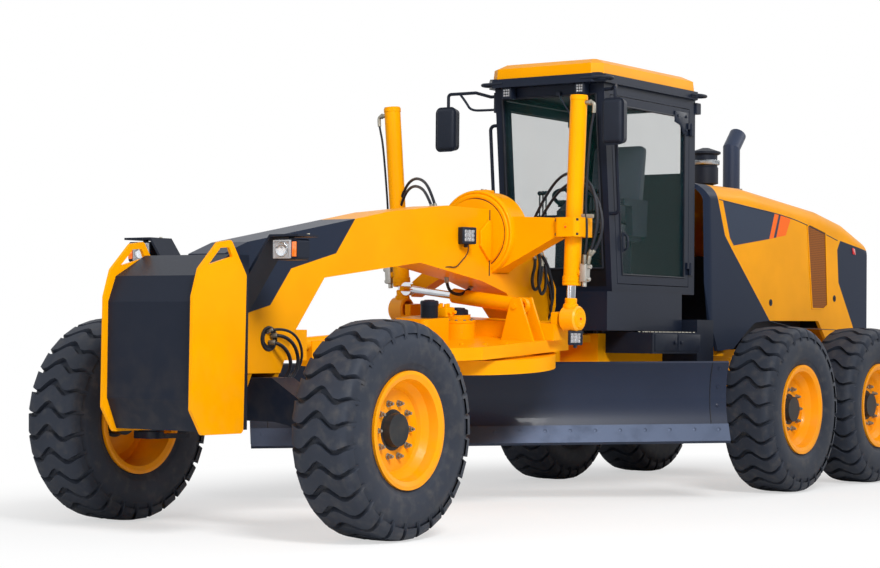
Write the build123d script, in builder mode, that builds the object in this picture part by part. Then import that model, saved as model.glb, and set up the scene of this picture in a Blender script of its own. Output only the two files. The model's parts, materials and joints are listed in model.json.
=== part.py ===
from build123d import *
import os

os.makedirs("parts", exist_ok=True)

# Motor grader, millimetres, +X forward, +Y the machine's left, +Z up, origin on the ground
# under the middle of its box. Each driving size is written once here.

# Wheels and tyres
tyre_radius = 674.5
tyre_width = 445
rim_seat_radius = 330
rim_flange_radius = 362
rim_flange_at = 200
hub_radius = 108
hub_depth = 50
hub_cap_out = 118
disc_out = 70
disc_thickness = 24
tread = 2200
wheelbase = 6219
tandem_spacing = 1538
tandem_x = -2500
axle_x = tandem_x + wheelbase
stub_radius = 60
stub_end = 61
running_gap = 0.3
bead_half = 178
carcass_radius = 642
lug_count = 22
lug_half = 80
lug_top = (tyre_radius**2 - lug_half**2) ** 0.5

# Rear chassis and tandem drive
rail_in = 230
rail_out = 330
rail_bottom = 860
rail_low_rear = 950
rail_top = 1150
cab_rail_top = 1275
chassis_front = -100
bumper_x = -4480
bumper_depth = 120
bumper_bottom = 880
bumper_top = 1350
outrigger_y = 530
hitch_pin_radius = 22.5
tandem_case_in = 640
tandem_case_out = 850
tandem_case_half_height = 190
brake_radius = 190
brake_out = 1000
axle_tube_radius = 150
diff_radius = 235

# Articulation between the rear chassis and the front frame
pivot_x = 150
pivot_pin_radius = 70
neck_hub_radius = 120
neck_bottom = 925
neck_top = 1200
fork_gap = 5
fork_plate = 60

# Front frame
frame_half_width = 150
saddle_x = 1015
saddle_z = 2000
saddle_length = 230
saddle_radius = 320
drum_radius = 262
saddle_slot = 6
yoke_x = 1012
trunnion_z = 2040
trunnion_y = 785
trunnion_radius = 25
yoke_out = 118
yoke_side = 102
yoke_in = 84
yoke_height = 140
frame_front = 4120
frame_lamp_x = 1500
frame_lamp_z = 1970
axle_pin_radius = 45
axle_pin_z = 850

# Front axle and knuckles
kingpin_y = 800
kingpin_radius = 30
axle_half_width = 110
eye_bottom = 602
eye_top = 748
eye_radius = 72
lug_gap = 5
knuckle_lug = 46
knuckle_web_in = 866
knuckle_web_out = 905

# Drawbar, circle and blade lie on the deck, a plane through the drawbar's front ball
ball_x = 3230
ball_z = 1180
ball_radius = 70
cross_bore_radius = 12
deck_pitch = 3.5
deck_roll = 2.5
circle_from_ball = 1880
circle_outer = 720
circle_inner = 560
circle_top = -168
circle_height = 100
circle_lip = 40
tooth_count = 72
tooth_depth = 22
deck_bottom = -150
deck_top = -60
stud_from_ball = 2230
stud_y = 750
stud_z = 97
stud_radius = 50
socket_gap = 18
socket_wall = 24
blade_angle = 45
blade_length = 3660
blade_shift = 350
blade_top = -286
blade_thickness = 22
edge_tip = -896
edge_lean = 28
edge_height = 152
edge_thickness = 19
rail_reach = 1100
arm_in = 380
arm_out = 420
shoe_in = 225
tilt_pin_radius = 25
tilt_pin_x = -560
tilt_pin_z = -790

# Cylinders
lift_barrel_radius = 62
lift_bore_radius = 46
lift_rod_radius = 32
lift_barrel_top = 960
lift_barrel_foot = 420
lift_rod_length = 900
shift_barrel_radius = 55
shift_bore_radius = 42
shift_rod_radius = 28
shift_pin_radius = 20
shift_base = (-2030, 450, 186)
shift_lug = (1110, -620, 1600)
shift_barrel_start = 75
shift_barrel_end = 640
shift_rod_overlap = 400
shift_eye_radius = 50
shift_eye_width = 60
shift_end_gap = 26
shift_end_wall = 16
shift_end_width = 40
shift_end_offset = 14

# Cab
cab_rear = -1340
cab_half_width = 500
cab_floor = 1600
cab_front_low = -20
cab_front_high = 130
cab_eave = 3200
cab_wall = 50
skirt_bottom = 1300
door_thickness = 40
door_gap = 6
glass_thickness = 8
roof_bottom = 3266
roof_edge = 3350
roof_top = 3390
eave_reach = 110

# Hood
hood_half_width = 560
hood_wall = 30
hood_shoulder = 135

SIDES = (("left", 1), ("right", -1))


def section_plane(x, side):
    """Plane through a wheel's axis: local x points outboard, local y up."""
    return Plane(origin=(x, side * tread / 2, tyre_radius), x_dir=(0, side, 0), z_dir=(side, 0, 0))


# Tyre pattern about the Y axis, outboard side at +Y
# Carcass, one half: distance from the middle, radius
CARCASS = (
    (bead_half, rim_seat_radius),
    (bead_half, rim_flange_radius + 6),
    (bead_half + 32, 408),
    (tyre_width / 2, 490),
    (tyre_width / 2 - 6, 560),
    (tyre_width / 2 - 20, 612),
    (160, carcass_radius - 8),
    (110, carcass_radius),
)
# Lug seen from outside: distance round the tyre, distance across it
LUG_PLAN = ((-lug_half, -10), (2, -10), (42, 98), (lug_half, 222), (-10, 222), (-42, 98))
# Lug along the tyre's section: distance across, radius
LUG_SECTION = ((-10, 590), (-10, lug_top), (168, lug_top), (216, tyre_radius - 72), (216, 556))
with BuildPart(mode=Mode.PRIVATE) as lug:
    with BuildSketch(Plane(origin=(0, 0, 556), x_dir=(1, 0, 0), z_dir=(0, 0, 1))):
        with BuildLine():
            Polyline(*LUG_PLAN, close=True)
        make_face()
    extrude(amount=tyre_radius - 556)
    with BuildSketch(Plane.YZ.offset(-lug_half)):
        with BuildLine():
            Polyline(*LUG_SECTION, close=True)
        make_face()
    extrude(amount=2 * lug_half, mode=Mode.INTERSECT)
with BuildPart() as tyre_pattern:
    with BuildSketch(Plane.YZ):
        with BuildLine():
            Polyline(*[(-across, radius) for across, radius in CARCASS], *reversed(CARCASS), close=True)
        make_face()
    revolve(axis=Axis.Y)
    inboard_lug = mirror(lug.part, about=Plane.XZ, mode=Mode.PRIVATE)
    for step in range(lug_count):
        add(lug.part.rotate(Axis.Y, step * 360 / lug_count))
        add(inboard_lug.rotate(Axis.Y, (step + 0.5) * 360 / lug_count))

# Wheels: name, x of the wheel's centre, side
WHEELS = (
    ("front_left", axle_x, 1),
    ("front_right", axle_x, -1),
    ("tandem_left_front", tandem_x + tandem_spacing / 2, 1),
    ("tandem_left_rear", tandem_x - tandem_spacing / 2, 1),
    ("tandem_right_front", tandem_x + tandem_spacing / 2, -1),
    ("tandem_right_rear", tandem_x - tandem_spacing / 2, -1),
)
for wheel_name, wheel_x, side in WHEELS:
    wheel_axis = Axis((wheel_x, side * tread / 2, tyre_radius), (0, 1, 0))
    handed = tyre_pattern.part if side > 0 else tyre_pattern.part.mirror(Plane.XZ)
    tyre = handed.moved(Location((wheel_x, side * tread / 2, tyre_radius)))
    tyre.label = "tyre_" + wheel_name
    export_step(tyre, f"parts/tyre_{wheel_name}.step")

    flange_in = bead_half + 2.5
    seat = rim_seat_radius - 0.4
    with BuildPart() as rim:
        with BuildSketch(section_plane(wheel_x, side)):
            with BuildLine():
                Polyline(
                    (-rim_flange_at, rim_flange_radius),
                    (-flange_in, rim_flange_radius),
                    (-flange_in, seat),
                    (flange_in, seat),
                    (flange_in, rim_flange_radius),
                    (rim_flange_at, rim_flange_radius),
                    (rim_flange_at, seat + 10),
                    (rim_flange_at - 12, seat - 18),
                    (rim_flange_at - 70, seat - 34),
                    (disc_out + 22, seat - 68),
                    (disc_out, seat - 80),
                    (disc_out, hub_radius),
                    (hub_cap_out, hub_radius - 8),
                    (hub_cap_out, 0),
                    (stub_end + 1, 0),
                    (stub_end + 1, stub_radius + running_gap),
                    (-hub_depth, stub_radius + running_gap),
                    (-hub_depth, hub_radius),
                    (disc_out - disc_thickness, hub_radius),
                    (disc_out - disc_thickness, seat - 84),
                    (disc_out - 6, seat - 40),
                    (disc_out - 6, seat - 18),
                    (-rim_flange_at + 12, seat - 18),
                    (-rim_flange_at, seat + 10),
                    close=True,
                )
            make_face()
        revolve(axis=wheel_axis)
    rim.part.label = "rim_" + wheel_name
    export_step(rim.part, f"parts/rim_{wheel_name}.step")

# Rear chassis: two rails, a front box with the hinge fork, outriggers, bumper and tow ears
fork_low = neck_bottom - fork_gap - fork_plate
fork_high = neck_top + fork_gap
hitch_x = bumper_x - bumper_depth - 40
with BuildPart() as rear_chassis:
    with BuildSketch(Plane.XZ.offset(-rail_out)):
        with BuildLine():
            Polyline(
                (chassis_front, rail_bottom),
                (chassis_front, cab_rail_top),
                (-900, cab_rail_top),
                (-1100, rail_top),
                (bumper_x, rail_top),
                (bumper_x, rail_low_rear),
                (-1300, rail_low_rear),
                (-900, rail_bottom),
                close=True,
            )
        make_face()
    extrude(amount=rail_out - rail_in)
    mirror(about=Plane.XZ)
    with BuildSketch(Plane.XY.offset(rail_bottom)):
        with Locations((chassis_front - 160, 0)):
            Rectangle(320, 2 * rail_out)
    extrude(amount=cab_rail_top - rail_bottom)
    for level in (fork_low, fork_high):
        with BuildSketch(Plane.XY.offset(level)):
            with BuildLine():
                Polyline(
                    (pivot_x, 140),
                    (chassis_front, 260),
                    (chassis_front - 60, 260),
                    (chassis_front - 60, -260),
                    (chassis_front, -260),
                    (pivot_x, -140),
                )
                ThreePointArc((pivot_x, -140), (pivot_x + 140, 0), (pivot_x, 140))
            make_face()
        extrude(amount=fork_plate)
    with BuildSketch(Plane.XY.offset(fork_low)):
        with Locations((pivot_x, 0)):
            Circle(pivot_pin_radius)
    extrude(amount=fork_high + fork_plate - fork_low)
    # Outriggers: x of the middle, top
    for out_x, out_top in ((-1750, 1250), (-3850, 1300)):
        with BuildSketch(Plane.XY.offset(rail_top - 50)):
            with Locations((out_x, 0)):
                Rectangle(110, 2 * outrigger_y)
        extrude(amount=out_top - rail_top + 50)
    # Seats of the axle tube under the rails
    with BuildSketch(Plane.XZ.offset(-rail_out)):
        with Locations((tandem_x, (tyre_radius + rail_low_rear) / 2)):
            Rectangle(420, rail_low_rear - tyre_radius)
        with Locations((tandem_x, tyre_radius)):
            Circle(axle_tube_radius + running_gap, mode=Mode.SUBTRACT)
    seats = extrude(amount=rail_out - rail_in)
    mirror(seats, about=Plane.XZ)
    with BuildSketch(Plane.XY.offset(bumper_bottom)):
        with Locations((bumper_x - bumper_depth / 2, 0)):
            Rectangle(bumper_depth, 2 * outrigger_y)
    extrude(amount=bumper_top - bumper_bottom)
    for ear_z in (940, 1040):
        with BuildSketch(Plane.XY.offset(ear_z)):
            with BuildLine():
                Polyline(
                    (hitch_x, 45),
                    (bumper_x - bumper_depth + 5, 80),
                    (bumper_x - bumper_depth + 5, -80),
                    (hitch_x, -45),
                )
                ThreePointArc((hitch_x, -45), (hitch_x - 45, 0), (hitch_x, 45))
            make_face()
            with Locations((hitch_x, 0)):
                Circle(hitch_pin_radius, mode=Mode.SUBTRACT)
        extrude(amount=30)
rear_chassis.part.label = "rear_chassis"
export_step(rear_chassis.part, "parts/rear_chassis.step")

# Rear axle housing with its bowl
with BuildPart() as rear_axle:
    with BuildSketch(Plane.XZ.offset(-tandem_case_in)):
        with Locations((tandem_x, tyre_radius)):
            Circle(axle_tube_radius)
    extrude(amount=2 * tandem_case_in)
    with BuildSketch(Plane.XZ.offset(-170)):
        with Locations((tandem_x, tyre_radius)):
            Circle(diff_radius)
    bowl = extrude(amount=340)
    chamfer(bowl.edges().filter_by(GeomType.CIRCLE).group_by(SortBy.RADIUS)[-1], 70)
rear_axle.part.label = "rear_axle"
export_step(rear_axle.part, "parts/rear_axle.step")

# Tandem cases with brake drums and stub shafts, one each side
with BuildPart() as tandem_cases:
    with BuildSketch(Plane.XZ.offset(-tandem_case_out)):
        with Locations((tandem_x, tyre_radius)):
            SlotCenterToCenter(tandem_spacing, 2 * tandem_case_half_height)
    extrude(amount=tandem_case_out - tandem_case_in)
    for case_x in (tandem_x - tandem_spacing / 2, tandem_x + tandem_spacing / 2):
        with BuildSketch(Plane.XZ.offset(-brake_out)):
            with Locations((case_x, tyre_radius)):
                Circle(brake_radius)
        extrude(amount=brake_out - tandem_case_out)
        with BuildSketch(Plane.XZ.offset(-(tread / 2 + stub_end))):
            with Locations((case_x, tyre_radius)):
                Circle(stub_radius)
        extrude(amount=tread / 2 + stub_end - brake_out)
    mirror(about=Plane.XZ)
tandem_cases.part.label = "tandem_cases"
export_step(tandem_cases.part, "parts/tandem_cases.step")

# Engine, one plain block on the rails
with BuildPart() as engine_block:
    with BuildSketch(Plane.XY.offset(rail_top)):
        with Locations((-3150, 0)):
            Rectangle(1150, 620)
    extrude(amount=820)
engine_block.part.label = "engine_block"
export_step(engine_block.part, "parts/engine_block.step")

# Hood: a shell cut into the yellow hood, with its vents, and its dark front and rear panels
hood_outline = (
    (-1370, 2530),
    (-2200, 2530),
    (-3650, 2410),
    (-4190, 2320),
    (-4640, 2180),
    (-4640, bumper_top),
    (-4300, 1340),
    (-3790, 1200),
    (-3580, 1410),
    (-2590, 1402),
    (-2325, 1383),
    (-2164, 1300),
    (-1930, 1160),
    (-1650, 1140),
    (-1510, 1400),
    (-1390, 2060),
)
side_panel_outline = (
    (-1300, 2495),
    (-1700, 2440),
    (-1770, 2410),
    (-2040, 2040),
    (-2650, 1404),
    (-2650, 1000),
    (-1300, 1000),
)
# Vent near the rear of each side: bead's outline, which the pocket follows inside it
vent_bead = 14
vent_raise = 5
vent_depth = 14
vent_outline = (
    (-3384, 2284),
    (-3728, 2225),
    (-3776, 1552),
    (-3690, 1514),
    (-3444, 1514),
    (-3334, 2262),
)
rear_panel_outline = (
    (-4200, 2165),
    (-4165, 1780),
    (-4500, 1300),
    (-4700, 1300),
    (-4700, 2105),
)
with BuildPart() as hood_shell:
    with BuildSketch(Plane.XZ):
        with BuildLine():
            Polyline(*hood_outline, close=True)
        make_face()
    extrude(amount=hood_half_width, both=True)
    top_edges = hood_shell.edges().filter_by(
        lambda edge: abs(edge.center().Y) > hood_half_width - 1 and edge.center().Z > 2200
    )
    fillet(top_edges.filter_by(lambda edge: edge.length > 300), hood_shoulder)
    with BuildSketch(Plane.XZ):
        with BuildLine():
            Polyline(
                (-1300, 2530 - hood_wall),
                (-2200, 2530 - hood_wall),
                (-3650, 2410 - hood_wall),
                (-4190, 2320 - hood_wall),
                (-4640 + hood_wall, 2180 - hood_wall),
                (-4640 + hood_wall, 1000),
                (-1300, 1000),
                close=True,
            )
        make_face()
    cavity = extrude(amount=hood_half_width - hood_wall, both=True, mode=Mode.PRIVATE)
    cavity_tops = cavity.edges().filter_by(
        lambda edge: abs(edge.center().Y) > hood_half_width - hood_wall - 1
        and edge.center().Z > 2200
        and edge.length > 300
    )
    add(cavity.fillet(hood_shoulder - 10, cavity_tops), mode=Mode.SUBTRACT)

with BuildPart() as hood:
    add(hood_shell.part)
    with BuildSketch(Plane.XZ.offset(hood_half_width - 150)):
        with BuildLine():
            Polyline(*side_panel_outline, close=True)
        make_face()
    extrude(amount=300, mode=Mode.SUBTRACT)
    with BuildSketch(Plane.XZ.offset(-hood_half_width - 150)):
        with BuildLine():
            Polyline(*side_panel_outline, close=True)
        make_face()
    extrude(amount=300, mode=Mode.SUBTRACT)
    with BuildSketch(Plane.XZ):
        with BuildLine():
            Polyline(*rear_panel_outline, close=True)
        make_face()
    extrude(amount=hood_half_width + 10, both=True, mode=Mode.SUBTRACT)
    for _, side in SIDES:
        with BuildSketch(Plane.XZ.offset(-side * (hood_half_width - vent_depth))):
            with BuildLine():
                Polyline(*vent_outline, close=True)
            make_face()
            fillet(vertices(), 18)
        extrude(amount=-side * (vent_depth + vent_raise))
        with BuildSketch(Plane.XZ.offset(-side * (hood_half_width - vent_depth))):
            with BuildLine():
                Polyline(*vent_outline, close=True)
            make_face()
            fillet(vertices(), 18)
            offset(amount=-vent_bead, mode=Mode.REPLACE)
        extrude(amount=-side * (vent_depth + vent_raise), mode=Mode.SUBTRACT)
hood.part.label = "hood"
export_step(hood.part, "parts/hood.step")

with BuildPart() as hood_panels:
    add(hood_shell.part)
    add(hood.part, mode=Mode.SUBTRACT)
hood_panels.part.label = "hood_panels"
export_step(hood_panels.part, "parts/hood_panels.step")

# Exhaust pipe with a mitred elbow that faces the rear, standing on the hood
exhaust_x = -2950
exhaust_radius = 76
exhaust_wall = 6
hood_skin = 2455
with BuildPart() as exhaust_stack:
    with BuildLine():
        Polyline((exhaust_x, 0, hood_skin), (exhaust_x, 0, 2950), (exhaust_x - 120, 0, 3080))
    with BuildSketch(Plane(origin=(exhaust_x, 0, hood_skin))):
        Circle(exhaust_radius)
        Circle(exhaust_radius - exhaust_wall, mode=Mode.SUBTRACT)
    sweep(transition=Transition.RIGHT)
    add(hood_shell.part, mode=Mode.SUBTRACT)
exhaust_stack.part.label = "exhaust_stack"
export_step(exhaust_stack.part, "parts/exhaust_stack.step")

# Air pre-cleaner: a neck on the hood, a bowl and a cap
cleaner_x = -2460
cleaner_radius = 112
with BuildPart() as air_precleaner:
    with BuildSketch(Plane(origin=(cleaner_x, 0, 0), x_dir=(1, 0, 0), z_dir=(0, -1, 0))):
        with BuildLine():
            Polyline(
                (0, 2495),
                (70, 2495),
                (70, 2590),
                (cleaner_radius, 2600),
                (cleaner_radius, 2740),
                (cleaner_radius - 8, 2748),
                (cleaner_radius - 8, 2850),
                (cleaner_radius + 20, 2862),
                (cleaner_radius + 20, 2880),
                (30, 2915),
                (0, 2915),
                close=True,
            )
        make_face()
    revolve(axis=Axis((cleaner_x, 0, 0), (0, 0, 1)))
    add(hood_shell.part, mode=Mode.SUBTRACT)
air_precleaner.part.label = "air_precleaner"
export_step(air_precleaner.part, "parts/air_precleaner.step")


def cab_front(z):
    """x of the cab's raked front face at a height."""
    return cab_front_low + (cab_front_high - cab_front_low) * (z - cab_floor) / (cab_eave - cab_floor)


# Cab frame: hollow, with door openings, front and rear windows, eave and skirt
door_rear = cab_rear + 100
door_low = cab_floor + 60
door_high = cab_eave - 80
pillar = 85
door_opening = (
    (door_rear, door_low),
    (cab_front(door_low) - pillar, door_low),
    (cab_front(door_high) - pillar, door_high),
    (door_rear, door_high),
)
window_half = 430
window_low = 1780
window_high = 3120
rear_window_low = 2600
rear_window_half = 400
hinge_y = cab_half_width + 16
hinge_levels = (1760, 2900)
skirt_rear = -1060
skirt_front = 120
skirt_half_width = 540
cab_feet = ((-250, 280), (-800, 280), (-250, -280), (-800, -280))
# Work lamps: x of the rear, x of the front, y of the middle, z of the foot, z of the top
lamp_half = 45
CAB_LAMPS = ((145, 212, 335, cab_eave - 88, cab_eave + 5), (cab_rear - 75, cab_rear + 5, 470, 3090, 3180))
with BuildPart() as cab_frame:
    with BuildSketch(Plane.XZ):
        with BuildLine():
            Polyline(
                (cab_rear, cab_floor),
                (cab_front_low, cab_floor),
                (cab_front_high, cab_eave),
                (cab_rear, cab_eave),
                close=True,
            )
        make_face()
    extrude(amount=cab_half_width, both=True)
    with BuildSketch(Plane.XZ):
        with BuildLine():
            Polyline(
                (cab_rear + cab_wall, cab_floor + cab_wall),
                (cab_front(cab_floor + cab_wall) - cab_wall, cab_floor + cab_wall),
                (cab_front(cab_eave - cab_wall) - cab_wall, cab_eave - cab_wall),
                (cab_rear + cab_wall, cab_eave - cab_wall),
                close=True,
            )
        make_face()
    extrude(amount=cab_half_width - cab_wall, both=True, mode=Mode.SUBTRACT)
    with BuildSketch(Plane.XZ):
        with BuildLine():
            Polyline(*door_opening, close=True)
        make_face()
    extrude(amount=cab_half_width + 5, both=True, mode=Mode.SUBTRACT)
    with BuildSketch(Plane.YZ.offset(cab_rear - 5)):
        with Locations((0, (rear_window_low + window_high) / 2)):
            Rectangle(2 * rear_window_half, window_high - rear_window_low)
    extrude(amount=cab_wall + 10, mode=Mode.SUBTRACT)
    with BuildSketch(Plane.YZ.offset(cab_front_low - 90)):
        with Locations((0, (window_low + window_high) / 2)):
            Rectangle(2 * window_half, window_high - window_low)
    extrude(amount=300, mode=Mode.SUBTRACT)
    with BuildSketch(Plane.XY.offset(cab_eave)):
        with BuildLine():
            Polyline(
                (cab_rear - 40, -470),
                (cab_rear - 40, 470),
                (cab_rear + 20, 535),
                (cab_front_high + 30, 535),
                (cab_front_high + eave_reach, 455),
                (cab_front_high + eave_reach, -455),
                (cab_front_high + 30, -535),
                (cab_rear + 20, -535),
                close=True,
            )
        make_face()
    extrude(amount=roof_bottom - cab_eave)
    with BuildSketch(Plane.XY.offset(skirt_bottom)):
        with Locations(((skirt_front + skirt_rear) / 2, 0)):
            Rectangle(skirt_front - skirt_rear, 2 * skirt_half_width)
    extrude(amount=cab_floor - skirt_bottom)
    with BuildSketch(Plane.XY.offset(cab_rail_top)):
        with Locations(*cab_feet):
            Circle(45)
    extrude(amount=skirt_bottom - cab_rail_top)
    for _, side in SIDES:
        for level in hinge_levels:
            with BuildSketch(Plane.XY.offset(level)):
                with Locations((door_rear, side * hinge_y)):
                    Circle(14)
                with Locations((door_rear - 25, side * (cab_half_width + 10))):
                    Rectangle(50, 20)
            extrude(amount=50)
            with BuildSketch(Plane.XY.offset(level + 50)):
                with Locations((door_rear, side * hinge_y)):
                    Circle(6)
            extrude(amount=50)
    for lamp_rear, lamp_front, lamp_y, lamp_low, lamp_high in CAB_LAMPS:
        with BuildSketch(Plane.XY.offset(lamp_low)):
            with Locations(((lamp_rear + lamp_front) / 2, lamp_y), ((lamp_rear + lamp_front) / 2, -lamp_y)):
                RectangleRounded(lamp_front - lamp_rear, 2 * lamp_half, 10)
        extrude(amount=lamp_high - lamp_low)
cab_frame.part.label = "cab_frame"
export_step(cab_frame.part, "parts/cab_frame.step")

# Cab roof, a tapered cap on the eave
with BuildPart() as cab_roof:
    with BuildSketch(Plane.XY.offset(roof_bottom)):
        with BuildLine():
            Polyline(
                (cab_rear - 20, 440),
                (cab_rear - 20, -440),
                (cab_rear + 40, -510),
                (cab_front_high + 10, -510),
                (cab_front_high + eave_reach - 30, -430),
                (cab_front_high + eave_reach - 30, 430),
                (cab_front_high + 10, 510),
                (cab_rear + 40, 510),
                close=True,
            )
        make_face()
    extrude(amount=roof_edge - roof_bottom, taper=6)
    extrude(cab_roof.faces().sort_by(Axis.Z)[-1], amount=roof_top - roof_edge, taper=65)
cab_roof.part.label = "cab_roof"
export_step(cab_roof.part, "parts/cab_roof.step")

# Fixed panes of the cab
pane_gap = 0.3
pane_in = 25
with BuildPart() as cab_glass:
    with BuildSketch(Plane.XZ):
        with BuildLine():
            Polyline(
                (cab_front(window_low + pane_gap) - pane_in, window_low + pane_gap),
                (cab_front(window_high - pane_gap) - pane_in, window_high - pane_gap),
                (cab_front(window_high - pane_gap) - pane_in - glass_thickness, window_high - pane_gap),
                (cab_front(window_low + pane_gap) - pane_in - glass_thickness, window_low + pane_gap),
                close=True,
            )
        make_face()
    extrude(amount=window_half - pane_gap, both=True)
    with BuildSketch(Plane.YZ.offset(cab_rear + pane_in)):
        with Locations((0, (rear_window_low + window_high) / 2)):
            Rectangle(2 * (rear_window_half - pane_gap), window_high - rear_window_low - 2 * pane_gap)
    extrude(amount=glass_thickness)
cab_glass.part.label = "cab_glass"
export_step(cab_glass.part, "parts/cab_glass.step")

# Doors: a frame with its hinge knuckles, and its pane
door_rim = 70
for side_name, side in SIDES:
    with BuildPart() as door:
        with BuildSketch(Plane.XZ.offset(-side * (cab_half_width - door_thickness))):
            with BuildLine():
                Polyline(*door_opening, close=True)
            make_face()
            offset(amount=-door_gap, kind=Kind.INTERSECTION, mode=Mode.REPLACE)
        extrude(amount=-side * door_thickness)
        with BuildSketch(Plane.XZ.offset(-side * (cab_half_width - door_thickness - 1))):
            with BuildLine():
                Polyline(*door_opening, close=True)
            make_face()
            offset(amount=-door_gap - door_rim, kind=Kind.INTERSECTION, mode=Mode.REPLACE)
        extrude(amount=-side * (door_thickness + 2), mode=Mode.SUBTRACT)
        for level in hinge_levels:
            with BuildSketch(Plane.XY.offset(level + 50 + running_gap)):
                with Locations((door_rear, side * hinge_y)):
                    Circle(14)
                with Locations((door_rear + 25, side * (cab_half_width + 10))):
                    Rectangle(50, 20)
                with Locations((door_rear, side * hinge_y)):
                    Circle(6 + running_gap, mode=Mode.SUBTRACT)
            extrude(amount=50)
    door.part.label = "door_" + side_name
    export_step(door.part, f"parts/door_{side_name}.step")

    with BuildPart() as door_glass:
        with BuildSketch(Plane.XZ.offset(-side * (cab_half_width - door_thickness / 2))):
            with BuildLine():
                Polyline(*door_opening, close=True)
            make_face()
            offset(amount=-door_gap - door_rim - pane_gap, kind=Kind.INTERSECTION, mode=Mode.REPLACE)
        extrude(amount=-side * glass_thickness)
    door_glass.part.label = "door_glass_" + side_name
    export_step(door_glass.part, f"parts/door_glass_{side_name}.step")

# Seat: cushion, back and headrest in one soft solid, on a bellows base
seat_x = -700
seat_width = 480
with BuildPart() as seat:
    with BuildSketch(Plane.XZ):
        with BuildLine():
            Polyline(
                (seat_x + 280, 2075),
                (seat_x + 280, 2175),
                (seat_x - 130, 2155),
                (seat_x - 250, 2830),
                (seat_x - 340, 2820),
                (seat_x - 240, 2075),
                close=True,
            )
        make_face()
        fillet(vertices(), 35)
    extrude(amount=seat_width / 2, both=True)
seat.part.label = "seat"
export_step(seat.part, "parts/seat.step")

with BuildPart() as seat_base:
    with BuildSketch(Plane.XY.offset(cab_floor + cab_wall)):
        with Locations((seat_x, 0)):
            RectangleRounded(380, 360, 40)
    extrude(amount=2075 - cab_floor - cab_wall)
    for _, side in SIDES:
        with BuildSketch(Plane.XZ.offset(-side * (seat_width / 2 + 10))):
            with BuildLine():
                Polyline(
                    (seat_x - 180, 2060),
                    (seat_x + 40, 2060),
                    (seat_x + 60, 2300),
                    (seat_x + 180, 2300),
                    (seat_x + 180, 2355),
                    (seat_x - 200, 2355),
                    close=True,
                )
            make_face()
        extrude(amount=-side * 60)
    with BuildSketch(Plane.XY.offset(2020)):
        with Locations((seat_x - 70, 0)):
            Rectangle(200, seat_width + 60)
    extrude(amount=54)
seat_base.part.label = "seat_base"
export_step(seat_base.part, "parts/seat_base.step")

# Steering column with its wheel, dash and control levers
column_x = -180
wheel_tilt = 25
wheel_at = (column_x - 130, 0, 2330)
with BuildPart() as steering_console:
    with BuildSketch(Plane.XZ):
        with BuildLine():
            Polyline(
                (column_x - 60, cab_floor + cab_wall),
                (column_x + 90, cab_floor + cab_wall),
                (column_x + 60, 2240),
                (column_x - 100, 2330),
                (column_x - 150, 2290),
                (column_x - 20, 2150),
                close=True,
            )
        make_face()
    extrude(amount=70, both=True)
    for _, side in SIDES:
        with BuildSketch(Plane.XY.offset(2170)):
            with Locations((column_x - 10, side * 150)):
                Rectangle(90, 300)
        extrude(amount=40)
        for lever_y in (215, 245, 275):
            with BuildSketch(Plane.XY.offset(2205)):
                with Locations((column_x - 10, side * lever_y)):
                    Circle(6)
            extrude(amount=170)
            with Locations((column_x - 10, side * lever_y, 2390)):
                Sphere(19)
    wheel_plane = Plane(Location(wheel_at, (0, -wheel_tilt, 0)))
    with BuildSketch(Plane(origin=wheel_plane.origin, x_dir=wheel_plane.x_dir, z_dir=-wheel_plane.y_dir)):
        with Locations((190, 0)):
            Circle(15)
    revolve(axis=Axis(wheel_plane.origin, wheel_plane.z_dir))
    with BuildSketch(wheel_plane.offset(-8)):
        Circle(55)
        Rectangle(370, 30)
    extrude(amount=16)
    with BuildSketch(wheel_plane.offset(-70)):
        Circle(30)
    extrude(amount=70)
steering_console.part.label = "steering_console"
export_step(steering_console.part, "parts/steering_console.step")

# Mirrors on their arms: side, foot on the pillar, knee, two bends, middle of the housing
MIRRORS = (
    (1, (108, 500, 3150), (108, 560, 3150), (150, 620, 3170), (210, 650, 3140), (245, 650, 2885)),
    (-1, (98, -500, 3150), (98, -560, 3150), (105, -700, 3190), (115, -960, 3190), (150, -960, 2905)),
)
with BuildPart() as mirrors:
    for side, foot, knee, bend_a, bend_b, middle in MIRRORS:
        with BuildLine(mode=Mode.PRIVATE) as arm:
            FilletPolyline(foot, knee, bend_a, bend_b, (bend_b[0], middle[1], middle[2]), radius=25)
        with BuildSketch(Plane(origin=arm.line @ 0, z_dir=arm.line % 0)):
            Circle(13)
        sweep(path=arm.line)
        with BuildSketch(Plane(origin=middle, x_dir=(0, 1, 0), z_dir=(1, 0, 0))):
            RectangleRounded(200, 360, 50)
        extrude(amount=-70, taper=12)
mirrors.part.label = "mirrors"
export_step(mirrors.part, "parts/mirrors.step")

# Grab rails on the front pillars
rail_tube = 14
rail_offset = 75
with BuildPart() as handrails:
    for _, side in SIDES:
        rail_levels = (2920, 2200)
        rail_points = [
            (cab_front(rail_levels[0]) - 25, side * cab_half_width, rail_levels[0]),
            (cab_front(rail_levels[0]) - 25, side * (cab_half_width + rail_offset), rail_levels[0]),
            (cab_front(rail_levels[1]) - 25, side * (cab_half_width + rail_offset), rail_levels[1]),
            (cab_front(rail_levels[1]) - 25, side * cab_half_width, rail_levels[1]),
        ]
        with BuildLine(mode=Mode.PRIVATE) as rail_path:
            FilletPolyline(*rail_points, radius=40)
        with BuildSketch(Plane(origin=rail_path.line @ 0, z_dir=rail_path.line % 0)):
            Circle(rail_tube)
        sweep(path=rail_path.line)
handrails.part.label = "handrails"
export_step(handrails.part, "parts/handrails.step")

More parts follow.
